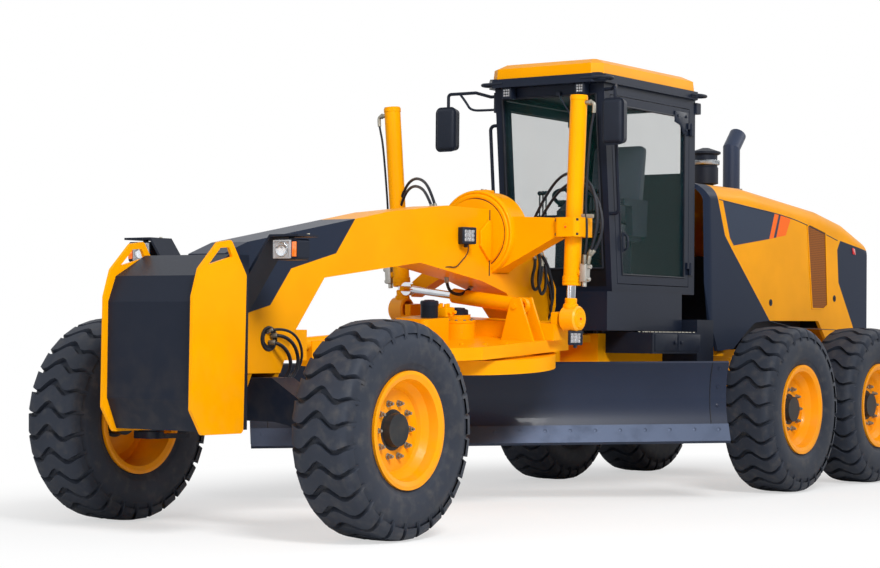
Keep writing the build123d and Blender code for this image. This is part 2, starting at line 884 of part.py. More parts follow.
# Boxes on the rails under the doors: x from, x to, y out, z from, z to
BOXES = ((-1020, -215, 750, 1125, 1290), (-1400, -1120, 650, 955, 1395))
with BuildPart() as step_boxes:
    for box_rear, box_front, box_out, box_low, box_high in BOXES:
        with BuildSketch(Plane.XY.offset(box_low)):
            with Locations(((box_rear + box_front) / 2, (rail_out + box_out) / 2)):
                Rectangle(box_front - box_rear, box_out - rail_out)
        extrude(amount=box_high - box_low)
    mirror(about=Plane.XZ)
step_boxes.part.label = "step_boxes"
export_step(step_boxes.part, "parts/step_boxes.step")

# Front frame: gooseneck, neck hub, saddle drum, axle hangers and the drawbar's socket
with BuildPart() as main_frame:
    with BuildSketch(Plane.XZ):
        with BuildLine():
            Polyline(
                (310, 1290),
                (235, 1480),
                (235, 1620),
                (522, 2040),
                (780, 2180),
                (1700, 2180),
                (2400, 2100),
                (3900, 1830),
                (frame_front, 1750),
                (frame_front, 1000),
                (3560, 1000),
                (3440, 1240),
                (3110, 1625),
                (2030, 1760),
                (1250, 1650),
                (930, 1570),
                (430, 1150),
                (400, neck_bottom),
                (pivot_x, neck_bottom),
                (pivot_x, neck_top),
                (310, neck_top),
                close=True,
            )
        make_face()
    extrude(amount=frame_half_width, both=True)
    with BuildSketch(Plane.YZ.offset(saddle_x - saddle_length / 2 - 25)):
        with Locations((0, saddle_z)):
            Circle(drum_radius)
    extrude(amount=saddle_length + 50)
    with BuildSketch(Plane.YZ.offset(saddle_x - saddle_length / 2 - saddle_slot)):
        with Locations((0, saddle_z)):
            Circle(saddle_radius + saddle_slot)
            Circle(drum_radius, mode=Mode.SUBTRACT)
    extrude(amount=saddle_length + 2 * saddle_slot, mode=Mode.SUBTRACT)
    with BuildSketch(Plane.XY.offset(neck_bottom)):
        with Locations((pivot_x, 0)):
            Circle(neck_hub_radius)
    extrude(amount=neck_top - neck_bottom)
    with BuildSketch(Plane.XY.offset(neck_bottom)):
        with Locations((pivot_x, 0)):
            Rectangle(400, 400)
            Circle(neck_hub_radius, mode=Mode.SUBTRACT)
        with Locations((pivot_x + 200, 0)):
            Rectangle(260, 400, mode=Mode.SUBTRACT)
    extrude(amount=neck_top - neck_bottom, mode=Mode.SUBTRACT)
    with BuildSketch(Plane.XY.offset(neck_bottom)):
        with Locations((pivot_x, 0)):
            Circle(pivot_pin_radius + running_gap)
    extrude(amount=neck_top - neck_bottom, mode=Mode.SUBTRACT)
    with BuildPart(mode=Mode.PRIVATE) as socket:
        with Locations(((ball_x + 5 + 3600) / 2, 0, ball_z)):
            Box(3600 - ball_x - 5, 210, 200)
        with Locations((ball_x, 0, ball_z)):
            Sphere(ball_radius + running_gap, rotation=(0, 0, 180), mode=Mode.SUBTRACT)
    add(socket.part)
    for hanger_x in (axle_x - axle_half_width - 45, axle_x + axle_half_width + 5):
        with BuildSketch(Plane.YZ.offset(hanger_x)):
            with BuildLine():
                Polyline((-frame_half_width, 1010), (frame_half_width, 1010), (80, axle_pin_z))
                ThreePointArc((80, axle_pin_z), (0, axle_pin_z - 80), (-80, axle_pin_z))
                Line((-80, axle_pin_z), (-frame_half_width, 1010))
            make_face()
        extrude(amount=40)
    with BuildSketch(Plane.YZ.offset(axle_x - axle_half_width - 55)):
        with Locations((0, axle_pin_z)):
            Circle(axle_pin_radius)
    extrude(amount=2 * axle_half_width + 110)
    for _, side in SIDES:
        with BuildSketch(Plane.XZ.offset(-side * (frame_half_width - 5))):
            with Locations((frame_lamp_x, frame_lamp_z)):
                RectangleRounded(90, 90, 14)
        extrude(amount=-side * 60)
main_frame.part.label = "main_frame"
export_step(main_frame.part, "parts/main_frame.step")

# Nose: a dark faceted cover between two upright plates
nose_cover_half = 350
nose_plate = 22
with BuildPart() as nose_cover:
    with BuildSketch(Plane.XZ):
        with BuildLine():
            Polyline(
                (frame_front, 660),
                (4540, 660),
                (4625, 850),
                (4625, 1440),
                (4560, 1600),
                (4300, 1735),
                (frame_front, 1735),
                close=True,
            )
        make_face()
    extrude(amount=nose_cover_half, both=True)
nose_cover.part.label = "nose_cover"
export_step(nose_cover.part, "parts/nose_cover.step")

with BuildPart() as nose_plates:
    with BuildSketch(Plane.XZ.offset(-nose_cover_half)):
        with BuildLine():
            Polyline(
                (4180, 640),
                (4560, 640),
                (4660, 790),
                (4655, 1470),
                (4600, 1640),
                (4430, 1805),
                (4310, 1822),
                (4165, 1610),
                close=True,
            )
        make_face()
        fillet(vertices(), 30)
        with BuildLine():
            Polyline((4520, 1665), (4410, 1770), (4330, 1775), (4300, 1720), close=True)
        make_face(mode=Mode.SUBTRACT)
    extrude(amount=-nose_plate)
    mirror(about=Plane.XZ)
nose_plates.part.label = "nose_plates"
export_step(nose_plates.part, "parts/nose_plates.step")

# Headlamps on folded brackets at the frame's shoulders
lamp_x = 3960
with BuildPart() as headlamps:
    with BuildSketch(Plane.YZ.offset(lamp_x - 60)):
        with BuildLine():
            Polyline(
                (frame_half_width, 1360),
                (500, 1848),
                (720, 1848),
                (720, 1862),
                (492, 1862),
                (frame_half_width, 1400),
                close=True,
            )
        make_face()
    extrude(amount=200)
    with BuildSketch(Plane.YZ.offset(lamp_x)):
        with Locations((605, 1770)):
            RectangleRounded(190, 130, 20)
    extrude(amount=120)
    with BuildSketch(Plane.XY.offset(1830)):
        with Locations((lamp_x + 60, 605)):
            Circle(18)
    extrude(amount=20)
    mirror(about=Plane.XZ)
headlamps.part.label = "headlamps"
export_step(headlamps.part, "parts/headlamps.step")

# Front axle beam on its pin, with an eye for each kingpin
with BuildPart() as front_axle:
    with BuildSketch(Plane.YZ.offset(axle_x)):
        with BuildLine():
            Polyline(
                (-kingpin_y, 620),
                (-kingpin_y, 735),
                (-700, 740),
                (-300, 975),
                (300, 975),
                (700, 740),
                (kingpin_y, 735),
                (kingpin_y, 620),
                (320, 700),
                (-320, 700),
                close=True,
            )
        make_face()
        with Locations((0, axle_pin_z)):
            Circle(axle_pin_radius + running_gap, mode=Mode.SUBTRACT)
    extrude(amount=axle_half_width, both=True)
    with BuildSketch(Plane.XY.offset(eye_bottom - 20)):
        with Locations((axle_x, kingpin_y - 60), (axle_x, -kingpin_y + 60)):
            Rectangle(400, 200)
        with Locations((axle_x, kingpin_y - 100), (axle_x, -kingpin_y + 100)):
            Rectangle(2 * eye_radius, 300, mode=Mode.SUBTRACT)
    extrude(amount=200, mode=Mode.SUBTRACT)
    with BuildSketch(Plane.XY.offset(eye_bottom)):
        with Locations((axle_x, kingpin_y), (axle_x, -kingpin_y)):
            Circle(eye_radius)
    extrude(amount=eye_top - eye_bottom)
    with BuildSketch(Plane.XY.offset(eye_bottom)):
        with Locations((axle_x, kingpin_y), (axle_x, -kingpin_y)):
            Circle(kingpin_radius + running_gap)
    extrude(amount=eye_top - eye_bottom, mode=Mode.SUBTRACT)
front_axle.part.label = "front_axle"
export_step(front_axle.part, "parts/front_axle.step")

# Knuckles: lugs round the axle's eye, kingpin, web, stub shaft and steering arm
for side_name, side in SIDES:
    with BuildPart() as knuckle:
        for lug_z in (eye_bottom - lug_gap - knuckle_lug, eye_top + lug_gap):
            with BuildSketch(Plane.XY.offset(lug_z)):
                with Locations((axle_x, side * kingpin_y)):
                    Circle(eye_radius)
                with Locations((axle_x, side * (kingpin_y + knuckle_web_out) / 2)):
                    Rectangle(2 * eye_radius, knuckle_web_out - kingpin_y)
            extrude(amount=knuckle_lug)
        with BuildSketch(Plane.XY.offset(eye_bottom - lug_gap - knuckle_lug)):
            with Locations((axle_x, side * kingpin_y)):
                Circle(kingpin_radius)
        extrude(amount=eye_top - eye_bottom + 2 * lug_gap + 2 * knuckle_lug)
        with BuildSketch(Plane.XY.offset(eye_bottom - lug_gap - knuckle_lug)):
            with Locations((axle_x, side * (knuckle_web_in + knuckle_web_out) / 2)):
                Rectangle(2 * eye_radius, knuckle_web_out - knuckle_web_in)
            with Locations((axle_x, side * kingpin_y)):
                Circle(eye_radius + 8, mode=Mode.SUBTRACT)
        extrude(amount=eye_top - eye_bottom + 2 * lug_gap + 2 * knuckle_lug)
        with BuildSketch(Plane.XZ.offset(-side * knuckle_web_out)):
            with Locations((axle_x, tyre_radius)):
                Circle(stub_radius)
        extrude(amount=-side * (tread / 2 + stub_end - knuckle_web_out))
        with BuildSketch(Plane.XY.offset(eye_bottom - lug_gap - knuckle_lug)):
            with BuildLine():
                Polyline(
                    (axle_x, side * (kingpin_y + 50)),
                    (axle_x - 260, side * (kingpin_y - 20)),
                    (axle_x - 260, side * (kingpin_y - 90)),
                    (axle_x, side * (kingpin_y - 60)),
                    close=True,
                )
            make_face()
        extrude(amount=30)
    knuckle.part.label = "knuckle_" + side_name
    export_step(knuckle.part, f"parts/knuckle_{side_name}.step")

# Saddle: ring round the drum, an arm and a yoke for each lift cylinder, lug for the side shift
saddle_rear = saddle_x - saddle_length / 2
with BuildPart() as saddle:
    with BuildSketch(Plane.YZ.offset(saddle_rear)):
        with Locations((0, saddle_z)):
            Circle(saddle_radius)
        with BuildLine():
            Polyline((-150, 1800), (-640, 1540), (-665, 1600), (-640, 1650), (-290, 1900), close=True)
        make_face()
        with Locations((0, saddle_z)):
            Circle(drum_radius + running_gap, mode=Mode.SUBTRACT)
    extrude(amount=saddle_length)
    with BuildSketch(Plane.YZ.offset(shift_lug[0] - 70)):
        with BuildLine():
            Polyline((-260, 1500), (-700, 1500), (-700, 1800), (-450, 1800), (-260, 1720), close=True)
        make_face()
    extrude(amount=saddle_rear + saddle_length + 10 - shift_lug[0] + 70, mode=Mode.SUBTRACT)
    with BuildSketch(Plane.YZ.offset(shift_lug[0] - 75)):
        with Locations(shift_lug[1:]):
            Circle(shift_pin_radius)
    extrude(amount=160)
    with BuildSketch(Plane.YZ.offset(yoke_x - 75)):
        with BuildLine():
            Polyline(
                (120, 1703),
                (109, 1731),
                (251, 1855),
                (290, saddle_z),
                (258, 2131),
                (trunnion_y - yoke_side, 2110),
                (trunnion_y - yoke_side, 1975),
                close=True,
            )
        make_face()
        mirror(about=Plane.YZ)
    extrude(amount=150)
    with BuildSketch(Plane.XY.offset(trunnion_z - yoke_height / 2)):
        with Locations((yoke_x, trunnion_y), (yoke_x, -trunnion_y)):
            RectangleRounded(2 * yoke_out, 2 * yoke_side, 40)
            Circle(yoke_in, mode=Mode.SUBTRACT)
    extrude(amount=yoke_height)
    with BuildSketch(Plane.YZ.offset(yoke_x - yoke_out - 5)):
        with Locations((trunnion_y, trunnion_z), (-trunnion_y, trunnion_z)):
            Circle(trunnion_radius + running_gap)
    extrude(amount=2 * yoke_out + 10, mode=Mode.SUBTRACT)
saddle.part.label = "saddle"
export_step(saddle.part, "parts/saddle.step")

# Planes of the deck, of the circle and of the blade
deck = Plane(Location((ball_x, 0, ball_z), (-deck_roll, deck_pitch, 0)))
ring_origin = deck.from_local_coords((-circle_from_ball, 0, 0))
ring_plane = Plane(origin=ring_origin, x_dir=deck.x_dir, z_dir=deck.z_dir)
blade_plane = Plane(ring_plane.location * Rotation(0, 0, blade_angle))


def upright(base, y):
    """Plane across a base plane's y: local x is its x, local y its z, outward its -y."""
    return Plane(origin=base.from_local_coords((0, y, 0)), x_dir=base.x_dir, z_dir=-base.y_dir)


# Drawbar: ball, A-shaped bars, table over the circle, lateral beam with a ball stud at each end
with BuildPart() as drawbar:
    with BuildSketch(deck.offset(deck_bottom)):
        with BuildLine():
            Polyline(
                (-190, -55),
                (-190, 55),
                (-1300, 620),
                (-2420, 620),
                (-2500, 520),
                (-2500, -520),
                (-2420, -620),
                (-1300, -620),
                close=True,
            )
        make_face()
        with BuildLine():
            Polyline((-620, -80), (-620, 80), (-1150, 350), (-1150, -350), close=True)
        make_face(mode=Mode.SUBTRACT)
    extrude(amount=deck_top - deck_bottom)
    with BuildSketch(deck.offset(deck_bottom)):
        with BuildLine():
            Polyline((-120, -50), (-120, 50), (-520, 175), (-520, -175), close=True)
        make_face()
    extrude(amount=170)
    with BuildSketch(Plane(origin=deck.from_local_coords((-400, 0, 0)), x_dir=deck.y_dir, z_dir=deck.x_dir)):
        Circle(45)
    extrude(amount=380)
    with BuildPart(mode=Mode.PRIVATE) as front_ball:
        with Locations(deck.location):
            Sphere(ball_radius)
    add(front_ball.part)
    with BuildSketch(Plane.XZ.offset(-ball_radius - 5)):
        with Locations((ball_x, ball_z)):
            Circle(cross_bore_radius)
    extrude(amount=2 * ball_radius + 10, mode=Mode.SUBTRACT)
    with BuildSketch(deck.offset(deck_top)):
        with Locations((-stud_from_ball, 0)):
            Rectangle(220, 1360)
    extrude(amount=120)
    with BuildSketch(deck.offset(deck_top)):
        with Locations((-stud_from_ball, 655), (-stud_from_ball, -655)):
            Rectangle(140, 50)
    extrude(amount=stud_z + 45 - deck_top)
    for _, side in SIDES:
        with BuildSketch(upright(deck, side * 640)):
            with Locations((-stud_from_ball, stud_z)):
                Circle(28)
        extrude(amount=-side * (stud_y - 640))
        with BuildPart(mode=Mode.PRIVATE) as stud:
            with Locations(deck.from_local_coords((-stud_from_ball, side * stud_y, stud_z))):
                Sphere(stud_radius)
        add(stud.part)
    for cheek_x in (shift_base[0] - 84, shift_base[0] + 64):
        cheek = Plane(origin=deck.from_local_coords((cheek_x, 0, 0)), x_dir=deck.y_dir, z_dir=deck.x_dir)
        with BuildSketch(cheek):
            with BuildLine():
                Polyline(
                    (shift_base[1] - 110, deck_top),
                    (shift_base[1] - 45, shift_base[2]),
                    (shift_base[1] - 30, shift_base[2] + 55),
                    (shift_base[1] + 50, shift_base[2] + 60),
                    (shift_base[1] + 70, shift_base[2]),
                    (shift_base[1] + 165, deck_top),
                    close=True,
                )
            make_face()
        extrude(amount=20)
    pin_plane = Plane(
        origin=deck.from_local_coords((shift_base[0] - 95, shift_base[1], shift_base[2])),
        x_dir=deck.y_dir,
        z_dir=deck.x_dir,
    )
    with BuildSketch(pin_plane):
        Circle(shift_pin_radius)
    extrude(amount=190)
    for angle in (45, 135, 225, 315):
        with BuildSketch(Plane(ring_plane.location * Rotation(0, 0, angle)).offset(circle_top - 85)):
            with Locations((542.5, 0)):
                Rectangle(85, 120)
        extrude(amount=40)
        with BuildSketch(Plane(ring_plane.location * Rotation(0, 0, angle)).offset(circle_top - 85)):
            with Locations((522.5, 0)):
                Rectangle(45, 120)
        extrude(amount=85 + deck_bottom - circle_top)
        with BuildSketch(Plane(ring_plane.location * Rotation(0, 0, angle)).offset(circle_top + running_gap)):
            with Locations((600, 0)):
                Rectangle(80, 140)
        extrude(amount=deck_bottom - circle_top - running_gap)
drawbar.part.label = "drawbar"
export_step(drawbar.part, "parts/drawbar.step")

# Circle drive: swivel tower and gearbox on the drawbar's table
with BuildPart() as circle_drive:
    with BuildSketch(deck.offset(deck_top)):
        with Locations((-circle_from_ball, 0)):
            Circle(130)
    extrude(amount=110)
    with BuildSketch(deck.offset(deck_top + 110)):
        with Locations((-circle_from_ball, 0)):
            Circle(95)
    extrude(amount=60)
    with BuildSketch(deck.offset(deck_top)):
        with Locations((-1440, 0)):
            RectangleRounded(320, 280, 40)
    extrude(amount=170)
    with BuildSketch(deck.offset(deck_top + 170)):
        with Locations((-1440, 60)):
            Circle(62)
    extrude(amount=120)
circle_drive.part.label = "circle_drive"
export_step(circle_drive.part, "parts/circle_drive.step")

# Circle: ring with a toothed inner lip, and an arm with its tilt pin down to each side of the blade
with BuildPart() as circle:
    with BuildSketch(ring_plane.offset(circle_top - circle_height)):
        Circle(circle_outer)
        Circle(circle_inner + 40, mode=Mode.SUBTRACT)
    extrude(amount=circle_height)
    with BuildSketch(ring_plane.offset(circle_top - circle_lip)):
        Circle(circle_inner + 45)
        Circle(circle_inner, mode=Mode.SUBTRACT)
        with PolarLocations(circle_inner, tooth_count):
            Polygon((-5, -15), (tooth_depth, -8), (tooth_depth, 8), (-5, 15), align=None, mode=Mode.SUBTRACT)
    extrude(amount=circle_lip)
    for _, side in SIDES:
        with BuildSketch(upright(blade_plane, side * arm_in)):
            with BuildLine():
                Polyline(
                    (-596, circle_top - circle_height + 4),
                    (-508, circle_top - circle_height + 4),
                    (-512, tilt_pin_z),
                    (-560, -845),
                    (-608, tilt_pin_z),
                    (-612, -430),
                    close=True,
                )
            make_face()
        extrude(amount=-side * (arm_out - arm_in))
        with BuildSketch(upright(blade_plane, side * arm_in)):
            with Locations((tilt_pin_x, tilt_pin_z)):
                Circle(tilt_pin_radius)
        extrude(amount=side * 45)
circle.part.label = "circle"
export_step(circle.part, "parts/circle.step")

# Blade tilt frame: side plates on the tilt pins, shoes round the blade's two rails, cross tube
# Rails: x of the back, x of the front, z from, z to
RAILS = ((-500, -434, -590, -530), (-440, -370, -810, -750))
SHOES = ((-560, -462, -630, -490), (-500, -416, -850, -712))
with BuildPart() as blade_tilt_frame:
    for _, side in SIDES:
        with BuildSketch(upright(blade_plane, side * (arm_in - 5))):
            with BuildLine():
                Polyline(
                    (-462, -490),
                    (-560, -490),
                    (-612, -760),
                    (-612, -820),
                    (-570, -850),
                    (-416, -850),
                    (-416, -712),
                    (-462, -640),
                    close=True,
                )
            make_face()
            with Locations((tilt_pin_x, tilt_pin_z)):
                Circle(tilt_pin_radius + running_gap, mode=Mode.SUBTRACT)
        extrude(amount=side * 30)
        for shoe_rear, shoe_front, shoe_low, shoe_high in SHOES:
            with BuildSketch(upright(blade_plane, side * (arm_in - 35))):
                with Locations(((shoe_rear + shoe_front) / 2, (shoe_low + shoe_high) / 2)):
                    Rectangle(shoe_front - shoe_rear, shoe_high - shoe_low)
            extrude(amount=side * (arm_in - 35 - shoe_in))
    with BuildSketch(upright(blade_plane, shoe_in + 10)):
        with Locations((-530, -690)):
            Circle(38)
    extrude(amount=2 * shoe_in + 20)
    for rail_rear, rail_front, rail_low, rail_high in RAILS:
        with BuildSketch(upright(blade_plane, arm_in)):
            with Locations(((rail_rear + rail_front) / 2, (rail_low + rail_high) / 2)):
                Rectangle(rail_front - rail_rear + 2 * running_gap, rail_high - rail_low + 2 * running_gap)
        extrude(amount=2 * arm_in, mode=Mode.SUBTRACT)
blade_tilt_frame.part.label = "blade_tilt_frame"
export_step(blade_tilt_frame.part, "parts/blade_tilt_frame.step")

# Moldboard: rolled plate with two rails on its back, and the cutting edge on its foot
edge_rise = Vector(0, 1).rotate(Axis.Z, edge_lean)
edge_out = Vector(1, 0).rotate(Axis.Z, edge_lean)
tip = Vector(-290, edge_tip)
roll_start = tip + edge_rise * edge_height
plate_foot = tip + edge_rise * 45
with BuildPart() as moldboard:
    with BuildSketch(upright(blade_plane, blade_shift + blade_length / 2)):
        with BuildLine():
            straight = Line(plate_foot, roll_start)
            TangentArc(roll_start, (-350, blade_top), tangent=straight % 1)
            offset(amount=blade_thickness, side=Side.LEFT)
        make_face()
    extrude(amount=blade_length)
    for rail_rear, rail_front, rail_low, rail_high in RAILS:
        with BuildSketch(upright(blade_plane, blade_shift + rail_reach)):
            with Locations(((rail_rear + rail_front) / 2, (rail_low + rail_high) / 2)):
                Rectangle(rail_front - rail_rear, rail_high - rail_low)
        extrude(amount=2 * rail_reach)
moldboard.part.label = "moldboard"
export_step(moldboard.part, "parts/moldboard.step")

with BuildPart() as cutting_edge:
    with BuildSketch(upright(blade_plane, blade_shift + blade_length / 2)):
        with BuildLine():
            Polyline(
                tip,
                roll_start,
                roll_start + edge_out * edge_thickness,
                tip + edge_out * edge_thickness + edge_rise * 12,
                close=True,
            )
        make_face()
    extrude(amount=blade_length)
cutting_edge.part.label = "cutting_edge"
export_step(cutting_edge.part, "parts/cutting_edge.step")

# Lift cylinders: barrel with collar and trunnions in the yoke, rod down to its cup
for side_name, side in SIDES:
    swivel = Vector(yoke_x, side * trunnion_y, trunnion_z)
    cup = deck.from_local_coords((-stud_from_ball, side * stud_y, stud_z))
    along = Plane(origin=swivel, x_dir=(1, 0, 0), z_dir=cup - swivel)
    reach = (cup - swivel).length
    with BuildPart() as lift_barrel:
        with BuildSketch(along.offset(-lift_barrel_top)):
            Circle(lift_barrel_radius)
        extrude(amount=lift_barrel_top + lift_barrel_foot)
        with BuildSketch(along.offset(-55)):
            Circle(70)
        extrude(amount=110)
        with BuildSketch(Plane(origin=swivel - Vector(yoke_out - 4, 0, 0), z_dir=(1, 0, 0))):
            Circle(trunnion_radius)
        extrude(amount=2 * (yoke_out - 4))
        with BuildSketch(along.offset(-lift_barrel_top + 30)):
            Circle(lift_bore_radius)
        extrude(amount=lift_barrel_top + lift_barrel_foot - 60, mode=Mode.SUBTRACT)
        with BuildSketch(along.offset(lift_barrel_foot - 40)):
            Circle(lift_rod_radius + running_gap)
        extrude(amount=50, mode=Mode.SUBTRACT)
    lift_barrel.part.label = "lift_barrel_" + side_name
    export_step(lift_barrel.part, f"parts/lift_barrel_{side_name}.step")
    with BuildPart() as lift_rod:
        with BuildSketch(along.offset(reach - lift_rod_length)):
            Circle(lift_rod_radius)
        extrude(amount=lift_rod_length - stud_radius - socket_gap - 5)
        cup_plane = Plane(origin=cup - Vector(0, side * stud_radius, 0), x_dir=(1, 0, 0), z_dir=(0, side, 0))
        with BuildSketch(cup_plane):
            Circle(stud_radius + socket_gap + socket_wall)
        cup_body = extrude(amount=2 * stud_radius + socket_gap + 15)
        chamfer(cup_body.edges().filter_by(GeomType.CIRCLE).group_by(SortBy.LENGTH)[-1], 12)
        with BuildSketch(cup_plane):
            Circle(stud_radius + socket_gap)
        extrude(amount=2 * stud_radius + socket_gap, mode=Mode.SUBTRACT)
    lift_rod.part.label = "lift_rod_" + side_name
    export_step(lift_rod.part, f"parts/lift_rod_{side_name}.step")

# Side shift cylinder: rod on the saddle's lug, barrel with an open eye round the drawbar's pin
shift_head = Vector(shift_lug)
shift_foot = deck.from_local_coords((shift_base[0] - shift_end_offset, shift_base[1], shift_base[2]))
shift_reach = (shift_foot - shift_head).length
shift_line = Plane(origin=shift_head, x_dir=(1, 0, 0), z_dir=shift_foot - shift_head)
shift_end_inner = shift_pin_radius + shift_end_gap
with BuildPart() as shift_barrel:
    with BuildSketch(shift_line.offset(shift_reach - shift_barrel_end)):
        Circle(shift_barrel_radius)
    extrude(amount=shift_barrel_end - shift_barrel_start)
    with BuildSketch(shift_line.offset(shift_reach - shift_barrel_start)):
        Rectangle(shift_end_width, 80)
    extrude(amount=shift_barrel_start - shift_end_inner - 2)
    eye_plane = Plane(origin=shift_foot - Vector(shift_end_width / 2, 0, 0), z_dir=(1, 0, 0))
    with BuildSketch(eye_plane):
        Circle(shift_end_inner + shift_end_wall)
        Circle(shift_end_inner, mode=Mode.SUBTRACT)
    extrude(amount=shift_end_width)
    with BuildSketch(shift_line.offset(shift_reach - shift_barrel_end + 25)):
        Circle(shift_bore_radius)
    extrude(amount=shift_barrel_end - shift_barrel_start - 50, mode=Mode.SUBTRACT)
    with BuildSketch(shift_line.offset(shift_reach - shift_barrel_end - 5)):
        Circle(shift_rod_radius + running_gap)
    extrude(amount=40, mode=Mode.SUBTRACT)
shift_barrel.part.label = "shift_barrel"
export_step(shift_barrel.part, "parts/shift_barrel.step")

with BuildPart() as shift_rod:
    with BuildSketch(shift_line.offset(10)):
        Circle(shift_rod_radius)
    extrude(amount=shift_reach - shift_barrel_end + shift_rod_overlap)
    with BuildSketch(Plane.YZ.offset(shift_lug[0] - shift_eye_width / 2)):
        with Locations(shift_lug[1:]):
            Circle(shift_eye_radius)
    extrude(amount=shift_eye_width)
    with BuildSketch(Plane.YZ.offset(shift_lug[0] - shift_eye_width)):
        with Locations(shift_lug[1:]):
            Circle(shift_pin_radius + running_gap)
    extrude(amount=2 * shift_eye_width, mode=Mode.SUBTRACT)
shift_rod.part.label = "shift_rod"
export_step(shift_rod.part, "parts/shift_rod.step")
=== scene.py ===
"""Looks, trim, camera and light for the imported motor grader."""

import json
import logging
import math
from collections.abc import Callable, Sequence
from dataclasses import dataclass, field
from enum import Enum

import bpy
from mathutils import Matrix, Vector


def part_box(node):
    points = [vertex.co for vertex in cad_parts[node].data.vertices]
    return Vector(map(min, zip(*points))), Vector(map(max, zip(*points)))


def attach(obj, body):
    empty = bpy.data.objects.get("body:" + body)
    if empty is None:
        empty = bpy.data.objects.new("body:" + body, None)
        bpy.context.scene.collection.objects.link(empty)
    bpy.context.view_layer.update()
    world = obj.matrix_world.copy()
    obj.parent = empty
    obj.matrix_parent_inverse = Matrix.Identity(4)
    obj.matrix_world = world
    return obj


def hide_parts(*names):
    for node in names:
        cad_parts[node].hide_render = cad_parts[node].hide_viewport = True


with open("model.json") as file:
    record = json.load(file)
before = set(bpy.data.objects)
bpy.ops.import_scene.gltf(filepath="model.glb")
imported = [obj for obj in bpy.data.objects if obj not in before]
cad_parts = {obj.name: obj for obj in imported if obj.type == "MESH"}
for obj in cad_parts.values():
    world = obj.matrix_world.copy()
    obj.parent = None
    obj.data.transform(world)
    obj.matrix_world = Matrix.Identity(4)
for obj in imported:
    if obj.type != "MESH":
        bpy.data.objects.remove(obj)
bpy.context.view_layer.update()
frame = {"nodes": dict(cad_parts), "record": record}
log = logging.getLogger("grader")

Number = float | int
Point = tuple[float, float, float]


class Slot(Enum):
    """Material slots of the record, by which the CAD nodes take their finish."""

    YELLOW = "yellow_paint"
    DARK = "dark_paint"
    BLADE = "blade_steel"
    EDGE = "edge_steel"
    RIM = "rim_paint"
    TYRE = "tyre_rubber"
    CHROME = "chrome_rod"
    STACK = "stack_steel"
    PLASTIC = "black_plastic"
    SEAT = "seat_fabric"
    GLASS = "cab_glass"


def tint(red: float, green: float, blue: float) -> tuple[float, float, float, float]:
    """Linear colour from the 0 to 255 values of a screen.

    Args:
        red: red channel.
        green: green channel.
        blue: blue channel.

    Returns:
        The colour with full alpha.
    """

    def line(value: float) -> float:
        """One channel."""
        share = value / 255
        return share / 12.92 if share < 0.04045 else ((share + 0.055) / 1.055) ** 2.4

    return (line(red), line(green), line(blue), 1.0)


MAIN_COLOUR = tint(255, 168, 0)
RIM_COLOUR = tint(255, 160, 0)


class Wire:
    """A shader socket that takes part in Python expressions."""

    def __init__(self, net: "Net", socket: bpy.types.NodeSocket) -> None:
        """Wraps a socket of a net."""
        self.net = net
        self.socket = socket

    def maths(self, operation: str, *terms: "Wire | Number") -> "Wire":
        """Adds one Math node over the given terms."""
        return self.net.node("ShaderNodeMath", {"operation": operation}, dict(enumerate(terms)))

    def __add__(self, other: "Wire | Number") -> "Wire":
        """Sum."""
        return self.maths("ADD", self, other)

    __radd__ = __add__

    def __sub__(self, other: "Wire | Number") -> "Wire":
        """Difference."""
        return self.maths("SUBTRACT", self, other)

    def __rsub__(self, other: Number) -> "Wire":
        """Difference from a number."""
        return self.maths("SUBTRACT", other, self)

    def __mul__(self, other: "Wire | Number") -> "Wire":
        """Product."""
        return self.maths("MULTIPLY", self, other)

    __rmul__ = __mul__

    def __abs__(self) -> "Wire":
        """Size without sign."""
        return self.maths("ABSOLUTE", self)

    def root(self) -> "Wire":
        """Square root."""
        return self.maths("SQRT", self)

    def most(self, other: "Wire | Number") -> "Wire":
        """The larger of two values."""
        return self.maths("MAXIMUM", self, other)

    def rise(self, low: float, high: float) -> "Wire":
        """Smooth step from 0 at low to 1 at high."""
        settings = {"interpolation_type": "SMOOTHSTEP", "clamp": True}
        return self.net.node("ShaderNodeMapRange", settings, {0: self, 1: low, 2: high, 3: 0.0, 4: 1.0})


